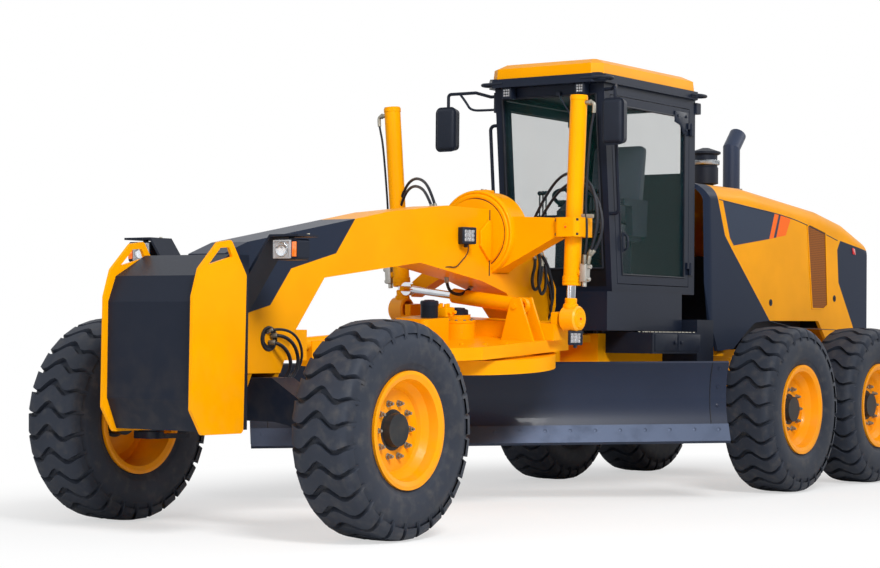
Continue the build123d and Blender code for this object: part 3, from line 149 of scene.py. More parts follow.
class Net:
    """A material's node tree, built by expressions."""

    def __init__(self, name: str) -> None:
        """Makes the material with one Principled shader.

        Args:
            name: name of the material.
        """
        self.material = bpy.data.materials.new(name)
        self.material.use_nodes = True
        self.tree = self.material.node_tree
        self.tree.nodes.clear()
        self.output = self.tree.nodes.new("ShaderNodeOutputMaterial")
        self.shader = self.tree.nodes.new("ShaderNodeBsdfPrincipled")
        self.tree.links.new(self.shader.outputs[0], self.output.inputs[0])

    def node(
        self,
        kind: str,
        settings: dict[str, object] | None = None,
        values: dict | None = None,
        out: int | str = 0,
    ) -> Wire:
        """Adds a node.

        Args:
            kind: the node's type name.
            settings: attributes, set before the sockets.
            values: numbers, colours or wires by socket index or name.
            out: the output socket that the wire carries.

        Returns:
            The wire of that output.
        """
        made = self.tree.nodes.new(kind)
        for key, value in (settings or {}).items():
            setattr(made, key, value)
        for key, value in (values or {}).items():
            self.feed(made.inputs[key], value)
        return Wire(self, made.outputs[out])

    def feed(self, socket: bpy.types.NodeSocket, value: object) -> None:
        """Links a wire to a socket, or sets its value.

        Args:
            socket: socket to fill.
            value: wire, number or colour.
        """
        if isinstance(value, Wire):
            self.tree.links.new(value.socket, socket)
        else:
            socket.default_value = value

    def put(self, **values: object) -> None:
        """Feeds sockets of the shader, named with underscores for spaces."""
        for key, value in values.items():
            self.feed(self.shader.inputs[key.replace("_", " ")], value)

    def place(self) -> Wire:
        """Object coordinates, which are the machine's own metres."""
        return self.node("ShaderNodeTexCoord", out="Object")

    def along(self, direction: Sequence[float]) -> Wire:
        """Distance from the origin along a direction."""
        values = {0: self.place(), 1: tuple(direction)}
        return self.node("ShaderNodeVectorMath", {"operation": "DOT_PRODUCT"}, values, "Value")

    def noise(self, scale: float, detail: float = 4.0, stretch: Point = (1, 1, 1)) -> Wire:
        """Noise over object coordinates, from 0 to 1."""
        vector = self.node("ShaderNodeMapping", None, {0: self.place(), 3: stretch})
        return self.node("ShaderNodeTexNoise", None, {"Vector": vector, "Scale": scale, "Detail": detail})

    def mix(self, factor: Wire | float, first: object, second: object) -> Wire:
        """Blend of two colours."""
        settings = {"data_type": "RGBA", "clamp_factor": True}
        return self.node("ShaderNodeMix", settings, {0: factor, 6: first, 7: second}, 2)

    def bump(self, height: Wire, strength: float, distance: float) -> None:
        """Raises the surface by a height wire."""
        values = {"Height": height, "Strength": strength, "Distance": distance}
        self.put(Normal=self.node("ShaderNodeBump", None, values))


@dataclass(frozen=True)
class Finish:
    """A surface finish: a material made once and laid on many pieces."""

    name: str
    slot: Slot

    def shade(self, net: Net) -> None:
        """Fills the material's nodes."""
        raise NotImplementedError

    def material(self) -> bpy.types.Material:
        """The finish's material, made on first use.

        Returns:
            The material.
        """
        found = bpy.data.materials.get(self.name)
        if found is None:
            net = Net(self.name)
            self.shade(net)
            found = net.material
        return found

    def lay(self, piece: bpy.types.Object) -> None:
        """Puts the finish on all of a piece."""
        piece.data.materials.clear()
        piece.data.materials.append(self.material())


@dataclass(frozen=True)
class Paint(Finish):
    """Sprayed gloss paint with orange peel, faint clouding and road dust low down."""

    colour: tuple = (1, 1, 1, 1)
    roughness: float = 0.32
    coat: float = 0.15
    dust: float = 0.10
    peel: float = 0.05
    shine: float = 0.35

    def base(self, net: Net) -> Wire:
        """The paint's colour before dust.

        Args:
            net: net of the material.

        Returns:
            The colour of the paint.
        """
        cloud = net.noise(1.7, 3.0)
        deep = tuple(c * 0.90 for c in self.colour[:3]) + (1.0,)
        return net.mix(cloud.rise(0.3, 0.7), self.colour, deep)

    def shade(self, net: Net) -> None:
        """Fills the material's nodes.

        Args:
            net: net of the material.
        """
        height = net.along((0, 0, 1))
        film = (1.0 - height.rise(0.15, 1.5)) * net.noise(9.0, 6.0).rise(0.35, 0.75) * self.dust
        net.put(Base_Color=net.mix(film, self.base(net), tint(128, 116, 98)))
        net.put(Roughness=film * 0.9 + self.roughness + net.noise(34.0, 2.0) * 0.05)
        net.put(Coat_Weight=self.coat, Coat_Roughness=0.06, Specular_IOR_Level=self.shine)
        net.bump(net.noise(420.0, 1.0), self.peel, 0.002)


class Region:
    """Areas of a side view, cut by straight lines, with x to the right and z up."""

    def __init__(self, net: Net, soft: float = 0.003) -> None:
        """Takes x and z from a net's object coordinates."""
        self.x, self.z, self.soft = net.along((1, 0, 0)), net.along((0, 0, 1)), soft

    def left(self, start: tuple, end: tuple) -> Wire:
        """1 on the left of the line from start to end, 0 on its right.

        Args:
            start: first point of the line, x and z.
            end: second point of the line, x and z.

        Returns:
            The mask.
        """
        run, lift = end[0] - start[0], end[1] - start[1]
        length = math.hypot(run, lift)
        distance = (self.z - start[1]) * (run / length) - (self.x - start[0]) * (lift / length)
        return distance.rise(-self.soft, self.soft)

    def within(self, corners: Sequence[tuple]) -> Wire:
        """1 inside a convex outline that runs anticlockwise.

        Args:
            corners: corners, x and z, anticlockwise.

        Returns:
            The mask.
        """
        inside = self.left(corners[-1], corners[0])
        for start, end in zip(corners, corners[1:]):
            inside = inside * self.left(start, end)
        return inside


@dataclass(frozen=True)
class HoodPaint(Paint):
    """Hood paint: dark ends, a slate field with two orange bands, and vent mesh in painted shade."""

    slate: tuple = tint(50, 60, 78)
    orange: tuple = tint(255, 112, 30)
    dark: tuple = tint(33, 42, 60)
    # mesh is the yellow darkened as painted shade of the recessed vent; hole is painted shadow seen through
    # the screen
    mesh: tuple = tint(150, 84, 18)
    hole_shadow: tuple = tint(26, 24, 24)
    hole_edge: tuple = (0.30, 0.42)
    panel_face: tuple = (0.5565, 0.558)
    vent_faces: tuple = (0.541, 0.561)
    front_edge: tuple = ((-1.60, 2.56), (-1.632, 2.414), (-1.765, 2.107), (-1.887, 2.0), (-2.62, 1.39))
    rear_edge: tuple = ((-4.60, 2.09), (-4.042, 2.155), (-3.978, 2.068), (-4.008, 1.768), (-4.46, 1.2))
    field_front: tuple = ((-1.722, 2.397), (-1.853, 2.09), (-1.931, 2.02))
    top: tuple = ((-1.722, 2.397), (-2.69, 2.342), (-3.007, 2.305))
    foot: tuple = ((-3.007, 2.163), (-2.588, 2.111), (-1.931, 2.02))
    cuts: tuple = (
        ((-3.007, 2.305), (-2.907, 2.151)),
        ((-2.809, 2.332), (-2.722, 2.129)),
        ((-2.773, 2.336), (-2.67, 2.119)),
        ((-2.69, 2.342), (-2.588, 2.111)),
    )
    vent: tuple = (
        (-3.444, 1.514), (-3.334, 2.262), (-3.384, 2.284), (-3.728, 2.225), (-3.776, 1.552),
        (-3.69, 1.514),
    )

    def base(self, net: Net) -> Wire:
        """Paint with its fields.

        Args:
            net: net of the material.

        Returns:
            The colour of the paint.
        """
        region = Region(net)
        width = abs(net.along((0, 1, 0)))
        field = width.rise(*self.panel_face)
        for line in (self.top, self.foot):
            for start, end in zip(line, line[1:]):
                field = field * region.left(start, end)
        for start, end in zip(self.field_front, self.field_front[1:]):
            field = field * (1.0 - region.left(start, end))
        colour = super().base(net)
        for (start, end), shade in zip(self.cuts, (self.orange, self.slate, self.orange, self.slate)):
            colour = net.mix(field * region.left(start, end), colour, shade)
        ahead = region.left(*self.front_edge[:2])
        for start, end in zip(self.front_edge[1:], self.front_edge[2:]):
            ahead = ahead.most(region.left(start, end))
        behind = 1.0 - region.left(*self.rear_edge[:2])
        for start, end in zip(self.rear_edge[1:], self.rear_edge[2:]):
            behind = behind * (1.0 - region.left(start, end))
        colour = net.mix(ahead.most(behind), colour, self.dark)
        inner, outer = self.vent_faces
        pocket = width.rise(inner, inner + 0.002) * (1.0 - width.rise(outer, outer + 0.002))
        pocket = pocket * region.within(self.vent)
        holes = net.node(
            "ShaderNodeTexVoronoi",
            {"feature": "F1"},
            {"Vector": net.place(), "Scale": 62.0, "Randomness": 0.0},
        )
        # painted shade: the vent screen in darkened yellow, its holes in painted shadow
        mesh = net.mix(holes.rise(*self.hole_edge), self.hole_shadow, self.mesh)
        return net.mix(pocket, colour, mesh)


@dataclass(frozen=True)
class FramePaint(Paint):
    """Frame paint: yellow, dark ahead of a stepped line."""

    dark: tuple = tint(36, 44, 60)
    low: tuple = ((3.914, 1.376), (3.668, 1.434))
    steep: tuple = ((3.668, 1.434), (3.46, 1.675))
    flat: tuple = ((3.46, 1.675), (2.99, 1.79))
    rear: tuple = ((2.99, 1.79), (2.811, 1.999))

    def base(self, net: Net) -> Wire:
        """Paint with its dark front.

        Args:
            net: net of the material.

        Returns:
            The colour of the paint.
        """
        region = Region(net)
        ahead = 1.0 - region.left(*self.rear)
        above = (1.0 - region.left(*self.steep)).most(1.0 - region.left(*self.flat))
        above_low = 1.0 - region.left(*self.low)
        return net.mix(ahead * above * above_low, super().base(net), self.dark)


@dataclass(frozen=True)
class DrivePaint(Paint):
    """Drive paint, with the motor over the housing in the dark colour."""

    rise_axis: tuple = (0.061049, 0.043538, 0.997185)
    level: float = 1.484
    dark: tuple = tint(28, 33, 42)

    def base(self, net: Net) -> Wire:
        """Paint, dark above a level of the deck."""
        height = net.along(self.rise_axis)
        return net.mix(height.rise(self.level - 0.002, self.level + 0.002), super().base(net), self.dark)


@dataclass(frozen=True)
class RodPaint(Finish):
    """Chromed rod whose end fitting is painted."""

    colour: tuple = tint(225, 228, 232)
    paint: tuple = MAIN_COLOUR
    above: float = 1.48

    def shade(self, net: Net) -> None:
        """Fills the material's nodes.

        Args:
            net: net of the material.
        """
        bright = net.along((0, 0, 1)).rise(self.above - 0.002, self.above + 0.002)
        marks = net.noise(200.0, 3.0, (1, 1, 0.1))
        net.put(Base_Color=net.mix(bright, self.paint, self.colour), Metallic=bright)
        net.put(Roughness=(1.0 - bright) * 0.24 + 0.09 + marks * 0.04)
        net.bump(marks, 0.02, 0.001)


@dataclass(frozen=True)
class RimPaint(Paint):
    """Wheel paint with a dark hub in the middle."""

    hub: tuple = (0, 0, 0)
    hub_radius: float = 0.125
    dark: tuple = tint(36, 40, 44)

    def base(self, net: Net) -> Wire:
        """Paint with the hub's colour inside its circle.

        Args:
            net: net of the material.

        Returns:
            The colour of the paint.
        """
        x, z = net.along((1, 0, 0)) - self.hub[0], net.along((0, 0, 1)) - self.hub[2]
        reach = (x * x + z * z).root()
        return net.mix(reach.rise(self.hub_radius, self.hub_radius + 0.002), self.dark, super().base(net))


@dataclass(frozen=True)
class CabPaint(Paint):
    """Cab paint, with painted shade on the walls inside the cab."""

    inner_half: float = 0.4515
    inner_floor: float = 1.64
    inner_rear: float = -1.2915
    inner_front: tuple = (0.05, 0.09)
    # painted shade: near-black laid on the walls inside the cab, where shade falls
    inside_shade: tuple = tint(16, 19, 24)

    def base(self, net: Net) -> Wire:
        """Paint, darker inside the cab as painted shade.

        Args:
            net: net of the material.

        Returns:
            The colour of the paint.
        """
        side = 1.0 - abs(net.along((0, 1, 0))).rise(self.inner_half, self.inner_half + 0.001)
        level = net.along((0, 0, 1)).rise(self.inner_floor, self.inner_floor + 0.002)
        length = net.along((1, 0, 0))
        room = length.rise(
            self.inner_rear, self.inner_rear + 0.001,
        ) * (1.0 - length.rise(*self.inner_front))
        # painted shade inside the cab, masked to the room's walls
        return net.mix(side * level * room, super().base(net), self.inside_shade)


@dataclass(frozen=True)
class BladePaint(Paint):
    """Dark blade paint, rubbed bright in a band over the cutting edge."""

    rise_axis: tuple = (0.061049, 0.043538, 0.997185)
    band_low: float = 0.43
    band_high: float = 0.62

    def shade(self, net: Net) -> None:
        """Fills the material's nodes.

        Args:
            net: net of the material.
        """
        super().shade(net)
        level = net.along(self.rise_axis)
        wander = net.noise(2.2, 5.0, (1, 1, 5)) * 0.16 - 0.08
        rubbed = 1.0 - (level + wander).rise(self.band_low, self.band_high)
        streak = net.noise(16.0, 6.0, (0.25, 0.25, 4)).rise(0.42, 0.62)
        bare = rubbed * (streak * 0.5 + 0.5)
        steel = net.mix(net.noise(60.0, 3.0, (0.1, 0.1, 3)), tint(70, 82, 106), tint(104, 118, 142))
        net.put(Base_Color=net.mix(bare * 0.8, self.base(net), steel))
        net.put(Metallic=bare * 0.55, Roughness=bare * 0.12 + self.roughness)


@dataclass(frozen=True)
class Steel(Finish):
    """Bare or plated metal with fine grinding marks."""

    colour: tuple = (0.5, 0.5, 0.5, 1)
    roughness: float = 0.3
    grain: float = 0.05

    def shade(self, net: Net) -> None:
        """Fills the material's nodes.

        Args:
            net: net of the material.
        """
        marks = net.noise(180.0, 4.0, (1, 1, 0.12))
        stain = net.noise(6.0, 5.0).rise(0.45, 0.8)
        dull = tuple(c * 0.72 for c in self.colour[:3]) + (1.0,)
        net.put(Base_Color=net.mix(stain * 0.5, self.colour, dull), Metallic=1.0)
        net.put(Roughness=marks * 0.12 + self.roughness + stain * 0.06)
        net.bump(marks, self.grain, 0.001)


@dataclass(frozen=True)
class Rubber(Finish):
    """Tyre or hose rubber with a trace of dust in its pores."""

    colour: tuple = (0.03, 0.033, 0.04, 1)
    dust: float = 0.3
    roughness: float = 0.62

    def shade(self, net: Net) -> None:
        """Fills the material's nodes.

        Args:
            net: net of the material.
        """
        dusty = net.noise(14.0, 8.0).rise(0.45, 0.85) * self.dust
        patch = net.noise(2.5, 3.0)
        deep = tuple(c * 0.6 for c in self.colour[:3]) + (1.0,)
        net.put(Base_Color=net.mix(dusty, net.mix(patch, self.colour, deep), tint(120, 114, 106)))
        net.put(Roughness=dusty * 0.5 + self.roughness, Specular_IOR_Level=0.25)
        net.bump(net.noise(260.0, 4.0), 0.25, 0.0015)


@dataclass(frozen=True)
class Plastic(Finish):
    """Moulded plastic with a leathery grain."""

    colour: tuple = (0.02, 0.02, 0.024, 1)
    roughness: float = 0.5

    def shade(self, net: Net) -> None:
        """Fills the material's nodes.

        Args:
            net: net of the material.
        """
        grain = net.node("ShaderNodeTexVoronoi", {"feature": "F1"}, {"Vector": net.place(), "Scale": 700.0})
        wear = net.noise(7.0, 4.0).rise(0.5, 0.9)
        light = tuple(min(1.0, c * 1.6) for c in self.colour[:3]) + (1.0,)
        net.put(Base_Color=net.mix(wear, self.colour, light), Roughness=wear * 0.1 + self.roughness)
        net.put(Specular_IOR_Level=0.2)
        net.bump(grain, 0.15, 0.0008)


@dataclass(frozen=True)
class Cloth(Finish):
    """Woven seat cloth."""

    colour: tuple = (0.03, 0.035, 0.045, 1)

    def shade(self, net: Net) -> None:
        """Fills the material's nodes.

        Args:
            net: net of the material.
        """
        warp = net.node(
            "ShaderNodeTexWave",
            {"bands_direction": "Y"},
            {"Vector": net.place(), "Scale": 160.0, "Distortion": 1.5},
        )
        weft = net.node(
            "ShaderNodeTexWave",
            {"bands_direction": "Z"},
            {"Vector": net.place(), "Scale": 160.0, "Distortion": 1.5},
        )
        weave = warp.most(weft)
        pale = tuple(c * 1.8 for c in self.colour[:3]) + (1.0,)
        net.put(Base_Color=net.mix(weave * 0.5, self.colour, pale), Roughness=0.9, Sheen_Weight=0.3)
        net.bump(weave, 0.3, 0.001)


@dataclass(frozen=True)
class Pane(Finish):
    """Flat safety glass with a pale green body."""

    colour: tuple = (0.0, 0.042, 0.038, 1)
    body: float = 0.14

    def shade(self, net: Net) -> None:
        """Fills the material's nodes.

        Args:
            net: net of the material.
        """
        film = net.noise(3.0, 5.0).rise(0.45, 0.9)
        net.put(Base_Color=self.colour, Roughness=film * 0.03 + 0.02, Alpha=film * 0.02 + self.body)
        net.put(Specular_IOR_Level=0.5, IOR=1.45)
        net.material.surface_render_method = "BLENDED"


@dataclass(frozen=True)
class Lens(Finish):
    """Moulded lamp lens with its prisms."""

    colour: tuple = (0.8, 0.8, 0.8, 1)
    glow: float = 0.05
    metallic: float = 0.0

    def shade(self, net: Net) -> None:
        """Fills the material's nodes.

        Args:
            net: net of the material.
        """
        ribs = net.node(
            "ShaderNodeTexWave", {"bands_direction": "Y"}, {"Vector": net.place(), "Scale": 42.0},
        )
        dark = tuple(c * 0.55 for c in self.colour[:3]) + (1.0,)
        net.put(Base_Color=net.mix(ribs, dark, self.colour), Roughness=0.08, Metallic=self.metallic)
        net.put(Coat_Weight=0.8, Emission_Color=self.colour, Emission_Strength=self.glow)
        net.bump(ribs, 0.5, 0.003)


YELLOW = Paint("yellow_gloss", Slot.YELLOW, MAIN_COLOUR, coat=0.02, shine=0.06)
HOOD = HoodPaint("hood_gloss", Slot.YELLOW, MAIN_COLOUR, coat=0.02, shine=0.06)
FRAME = FramePaint("frame_gloss", Slot.YELLOW, MAIN_COLOUR, coat=0.02, shine=0.06)
CAB = CabPaint("cab_gloss", Slot.DARK, tint(24, 31, 46), roughness=0.3, coat=0.06, dust=0.05, shine=0.14)
DRIVE = DrivePaint("drive_gloss", Slot.YELLOW, MAIN_COLOUR, coat=0.02, shine=0.06)
ROD_LEFT = RodPaint("rod_left_finish", Slot.CHROME, above=1.48)
ROD_RIGHT = RodPaint("rod_right_finish", Slot.CHROME, above=1.545)
DARK = Paint("dark_gloss", Slot.DARK, tint(27, 34, 48), roughness=0.3, coat=0.06, dust=0.06, shine=0.14)
SATIN = Paint("dark_satin", Slot.DARK, tint(24, 30, 43), roughness=0.4, coat=0.03, dust=0.12, shine=0.14)
BLADE = BladePaint("blade_coat", Slot.BLADE, tint(31, 40, 60), roughness=0.34, coat=0.08, shine=0.2)
EDGE = Steel("edge_bare", Slot.EDGE, tint(62, 69, 84), 0.42, 0.2)
CHROME = Steel("rod_chrome", Slot.CHROME, tint(225, 228, 232), 0.08, 0.01)
ZINC = Steel("bolt_zinc", Slot.EDGE, tint(150, 146, 135), 0.42, 0.1)
CASTING = Steel("valve_cast", Slot.EDGE, tint(178, 176, 170), 0.5, 0.3)
STACK = Paint("stack_black", Slot.STACK, tint(50, 60, 82), roughness=0.35, coat=0.1, shine=0.2)
TYRE = Rubber("tyre_black", Slot.TYRE, tint(44, 50, 62), dust=0.22)
HOSE = Rubber("hose_black", Slot.PLASTIC, tint(30, 34, 44), dust=0.08, roughness=0.45)
TRIM = Plastic("trim_black", Slot.PLASTIC, tint(27, 33, 45))
SEAT = Cloth("seat_weave", Slot.SEAT, tint(42, 48, 60))
GLASS = Pane("cab_pane", Slot.GLASS)
CLEAR = Lens("lamp_clear", Slot.GLASS, tint(176, 178, 182), glow=0.0)
AMBER = Lens("lamp_amber", Slot.PLASTIC, tint(255, 120, 10), glow=0.25)
# RED glows; laid on the grease nipples and grease caps, which are no lamps, it gives them a painted glow
RED = Lens("lamp_red", Slot.PLASTIC, tint(225, 20, 24), glow=0.3)
SILVER = Lens("mirror_glass", Slot.CHROME, tint(200, 205, 210), glow=0.0, metallic=1.0)


@dataclass
class Studio:
    """Camera at the photograph's place, pale floor and soft light."""

    eye: Point = (14.235, 8.912, 1.263)
    yaw: float = 215.14
    pitch: float = 1.327
    roll: float = 0.557
    lens: float = 87.61
    floor_near: float = 3.5
    floor_far: float = 7.5
    sky: tuple = (0.93, 0.96, 1.0, 1)
    sky_strength: float = 0.30
    lamps: tuple = (
        ("key", (8.5, 10, 10), (0, 0, 1), 1850, 4),
        ("fill", (14, 1, 5), (1, 0, 1), 330, 7),
        ("rear", (-10, 5, 8), (-2, 0, 1.5), 330, 6),
    )

    def camera(self) -> None:
        """Stands the camera where the photograph was taken."""
        yaw, pitch, roll = (math.radians(a) for a in (self.yaw, self.pitch, self.roll))
        look = Vector((math.cos(yaw) * math.cos(pitch), math.sin(yaw) * math.cos(pitch), math.sin(pitch)))
        right = look.cross(Vector((0, 0, 1))).normalized()
        up = right.cross(look)
        right, up = (
            right * math.cos(roll) + up * math.sin(roll),
            up * math.cos(roll) - right * math.sin(roll),
        )
        data = bpy.data.cameras.new("photo_view")
        data.lens, data.sensor_width, data.clip_end = self.lens, 36.0, 200.0
        camera = bpy.data.objects.new("photo_view", data)
        bpy.context.scene.collection.objects.link(camera)
        turn = Matrix((right, up, -look)).transposed().to_4x4()
        camera.matrix_world = Matrix.Translation(self.eye) @ turn
        bpy.context.scene.camera = camera

    def floor(self) -> None:
        """Lays a wide pale floor that the camera sees as near white."""
        bpy.ops.mesh.primitive_plane_add(size=160, location=(0, 0, 0))
        ground = bpy.context.object
        ground.name = "studio_floor"
        net = Net("studio_pale")
        net.put(Base_Color=tint(250, 250, 250), Roughness=0.9, Specular_IOR_Level=0.0)
        x, y = net.along((1, 0, 0)), net.along((0, 1, 0))
        reach = (x * x + y * y * 3.0).root()
        far = reach.rise(self.floor_near, self.floor_far) * 0.45 + 0.55
        seen = net.node("ShaderNodeLightPath", out="Is Camera Ray") * far
        white = net.node("ShaderNodeEmission", None, {"Color": (1, 1, 1, 1), "Strength": 1.0})
        blend = net.node(
            "ShaderNodeMixShader", None, {0: seen, 1: Wire(net, net.shader.outputs[0]), 2: white},
        )
        net.feed(net.output.inputs[0], blend)
        ground.data.materials.append(net.material)

    def light(self) -> None:
        """Hangs the lamps and sets the sky."""
        world = bpy.data.worlds.new("studio_sky")
        bpy.context.scene.world = world
        world.use_nodes = True
        tree = world.node_tree
        tree.nodes.clear()
        out = tree.nodes.new("ShaderNodeOutputWorld")
        shown, lit = tree.nodes.new("ShaderNodeBackground"), tree.nodes.new("ShaderNodeBackground")
        shown.inputs[0].default_value, shown.inputs[1].default_value = (1, 1, 1, 1), 1.0
        lit.inputs[0].default_value, lit.inputs[1].default_value = self.sky, self.sky_strength
        path, blend = tree.nodes.new("ShaderNodeLightPath"), tree.nodes.new("ShaderNodeMixShader")
        glossy, both = tree.nodes.new("ShaderNodeMath"), tree.nodes.new("ShaderNodeMath")
        glossy.operation = both.operation = "MAXIMUM"
        tree.links.new(path.outputs["Is Glossy Ray"], glossy.inputs[0])
        tree.links.new(path.outputs["Is Transmission Ray"], glossy.inputs[1])
        tree.links.new(path.outputs["Is Camera Ray"], both.inputs[0])
        tree.links.new(glossy.outputs[0], both.inputs[1])
        tree.links.new(both.outputs[0], blend.inputs[0])
        tree.links.new(lit.outputs[0], blend.inputs[1])
        tree.links.new(shown.outputs[0], blend.inputs[2])
        tree.links.new(blend.outputs[0], out.inputs[0])
        for name, place, aim, power, size in self.lamps:
            data = bpy.data.lights.new("lamp_" + name, "AREA")
            data.energy, data.size = power, size
            lamp = bpy.data.objects.new("lamp_" + name, data)
            bpy.context.scene.collection.objects.link(lamp)
            lamp.location = place
            lamp.rotation_euler = (Vector(aim) - Vector(place)).to_track_quat("-Z", "Y").to_euler()

    def build(self) -> None:
        """Sets the whole stage."""
        self.camera()
        self.floor()
        self.light()
        bpy.context.scene.view_settings.view_transform = "Standard"


@dataclass
class Paintwork:
    """Lays the finishes on the CAD nodes."""

    by_slot: dict = field(
        default_factory=lambda: {
            Slot.YELLOW: YELLOW,
            Slot.DARK: SATIN,
            Slot.BLADE: BLADE,
            Slot.EDGE: EDGE,
            Slot.RIM: YELLOW,
            Slot.TYRE: TYRE,
            Slot.CHROME: CHROME,
            Slot.STACK: STACK,
            Slot.PLASTIC: TRIM,
            Slot.SEAT: SEAT,
            Slot.GLASS: GLASS,
        }
    )
    own: dict = field(
        default_factory=lambda: {
            "hood": HOOD,
            "hood_panels": HOOD,
            "main_frame": FRAME,
            "front_axle": SATIN,
            "cab_frame": CAB,
            "door_left": CAB,
            "door_right": CAB,
            "circle_drive": DRIVE,
            "lift_rod_left": ROD_LEFT,
            "lift_rod_right": ROD_RIGHT,
        }
    )

    def build(self) -> None:
        """Goes through the record's pieces."""
        for row in frame["record"]["subparts"]:
            node = frame["nodes"][row["node"]]
            finish = self.own.get(row["node"], self.by_slot[Slot(row["material_slot"])])
            if row["node"].startswith("rim_"):
                low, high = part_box(row["node"])
                hub = tuple(round(v, 3) for v in (low + high) / 2)
                finish = RimPaint(
                    "gloss_" + row["node"],
                    Slot.RIM,
                    RIM_COLOUR,
                    coat=0.03,
                    shine=0.15,
                    dust=0.15,
                    hub=hub,
                )
            finish.lay(node)


class Bench:
    """Modelling moves shared by the sub-assemblies, as made by hand."""

    def clear(self) -> None:
        """Back to object mode with nothing selected."""
        if bpy.context.mode != "OBJECT":
            bpy.ops.object.mode_set(mode="OBJECT")
        bpy.ops.object.select_all(action="DESELECT")

    def hold(self, piece: bpy.types.Object) -> None:
        """Selects one piece alone and makes it active.

        Args:
            piece: piece to work on.
        """
        self.clear()
        piece.select_set(True)
        bpy.context.view_layer.objects.active = piece

    def named(self, name: str) -> bpy.types.Object:
        """Names the active piece and applies its place.

        Args:
            name: name of the piece.

        Returns:
            The piece.
        """
        piece = bpy.context.object
        piece.name = name
        self.settle(piece)
        return piece

    def settle(self, piece: bpy.types.Object) -> None:
        """Moves a piece's place into its mesh."""
        self.hold(piece)
        bpy.ops.object.transform_apply(location=True, rotation=True, scale=True)

    def pick(self, piece: bpy.types.Object, test: Callable[[bpy.types.MeshPolygon], bool]) -> None:
        """Selects the faces that pass a test and enters edit mode.

        Args:
            piece: piece to work on.
            test: says of a face whether it is wanted.
        """
        self.hold(piece)
        for vertex in piece.data.vertices:
            vertex.select = False
        for edge in piece.data.edges:
            edge.select = False
        for face in piece.data.polygons:
            face.select = test(face)
        bpy.ops.object.mode_set(mode="EDIT")
        bpy.ops.mesh.select_mode(type="FACE")

    def box(
        self, name: str, low: Point, high: Point, roll: float = 0.004, steps: int = 2,
    ) -> bpy.types.Object:
        """A block between two corners with rolled edges.

        Args:
            name: name of the piece.
            low: lowest corner.
            high: highest corner.
            roll: width of the rolled edges.
            steps: segments of the roll.

        Returns:
            The piece.
        """
        self.clear()
        middle = [(a + b) / 2 for a, b in zip(low, high)]
        bpy.ops.mesh.primitive_cube_add(size=1, location=middle, scale=[b - a for a, b in zip(low, high)])
        piece = self.named(name)
        if roll:
            self.pick(piece, lambda face: True)
            bpy.ops.mesh.bevel(offset=roll, segments=steps, affect="EDGES")
            bpy.ops.object.mode_set(mode="OBJECT")
        return piece

    def bar(
        self,
        name: str,
        start: Point,
        end: Point,
        radius: float,
        sides: int = 24,
        roll: float = 0.002,
        bore: float = 0.0,
    ) -> bpy.types.Object:
        """A round bar between two points, its rims rolled, with a blind bore in its far end if asked.

        Args:
            name: name of the piece.
            start: where it starts.
            end: where it ends.
            radius: radius of the piece.
            sides: how many sides it has.
            roll: width of the rolled edges.
            bore: radius of the blind bore, 0 for none.

        Returns:
            The piece.
        """
        self.clear()
        run = Vector(end) - Vector(start)
        bpy.ops.mesh.primitive_cylinder_add(
            vertices=sides,
            radius=radius,
            depth=run.length,
            location=(Vector(start) + Vector(end)) / 2,
            rotation=run.to_track_quat("Z", "Y").to_euler(),
        )
        piece = self.named(name)
        along = run.normalized()
        if bore:
            self.pick(piece, lambda face: face.normal.dot(along) > 0.9)
            bpy.ops.mesh.inset(thickness=radius - bore)
            bpy.ops.mesh.extrude_region_move(
                TRANSFORM_OT_translate={"value": -along * min(run.length * 0.8, bore)}
            )
            bpy.ops.object.mode_set(mode="OBJECT")
        if roll:
            self.pick(piece, lambda face: abs(face.normal.dot(along)) > 0.9)
            bpy.ops.mesh.bevel(offset=roll, segments=2, affect="EDGES")
            bpy.ops.object.mode_set(mode="OBJECT")
        return piece

    def lathe(
        self, name: str, profile: Sequence[tuple[float, float]], centre: Point, axis: Point, steps: int = 64
    ) -> bpy.types.Object:
        """Spins an outline of (along the axis, radius) points once round an axis.

        Args:
            name: name of the piece.
            profile: points of the outline, along the axis and out from it.
            centre: point that it is measured from.
            axis: direction of the axis.
            steps: segments round the axis.

        Returns:
            The piece.
        """
        self.clear()
        along = Vector(axis).normalized()
        out = along.orthogonal().normalized()
        points = [Vector(centre) + along * a + out * r for a, r in profile]
        bpy.ops.mesh.primitive_plane_add(size=0.01, location=points[0])
        bpy.ops.object.mode_set(mode="EDIT")
        bpy.ops.mesh.select_mode(type="VERT")
        bpy.ops.mesh.select_all(action="SELECT")
        bpy.ops.mesh.merge(type="CENTER")
        for here, there in zip(points, points[1:]):
            bpy.ops.mesh.extrude_vertices_move(TRANSFORM_OT_translate={"value": there - here})
        bpy.ops.mesh.select_all(action="SELECT")
        bpy.ops.mesh.spin(steps=steps, angle=math.tau, center=centre, axis=along)
        bpy.ops.mesh.select_all(action="SELECT")
        bpy.ops.mesh.remove_doubles(threshold=0.00005)
        bpy.ops.mesh.normals_make_consistent(inside=False)
        bpy.ops.object.mode_set(mode="OBJECT")
        return self.named(name)

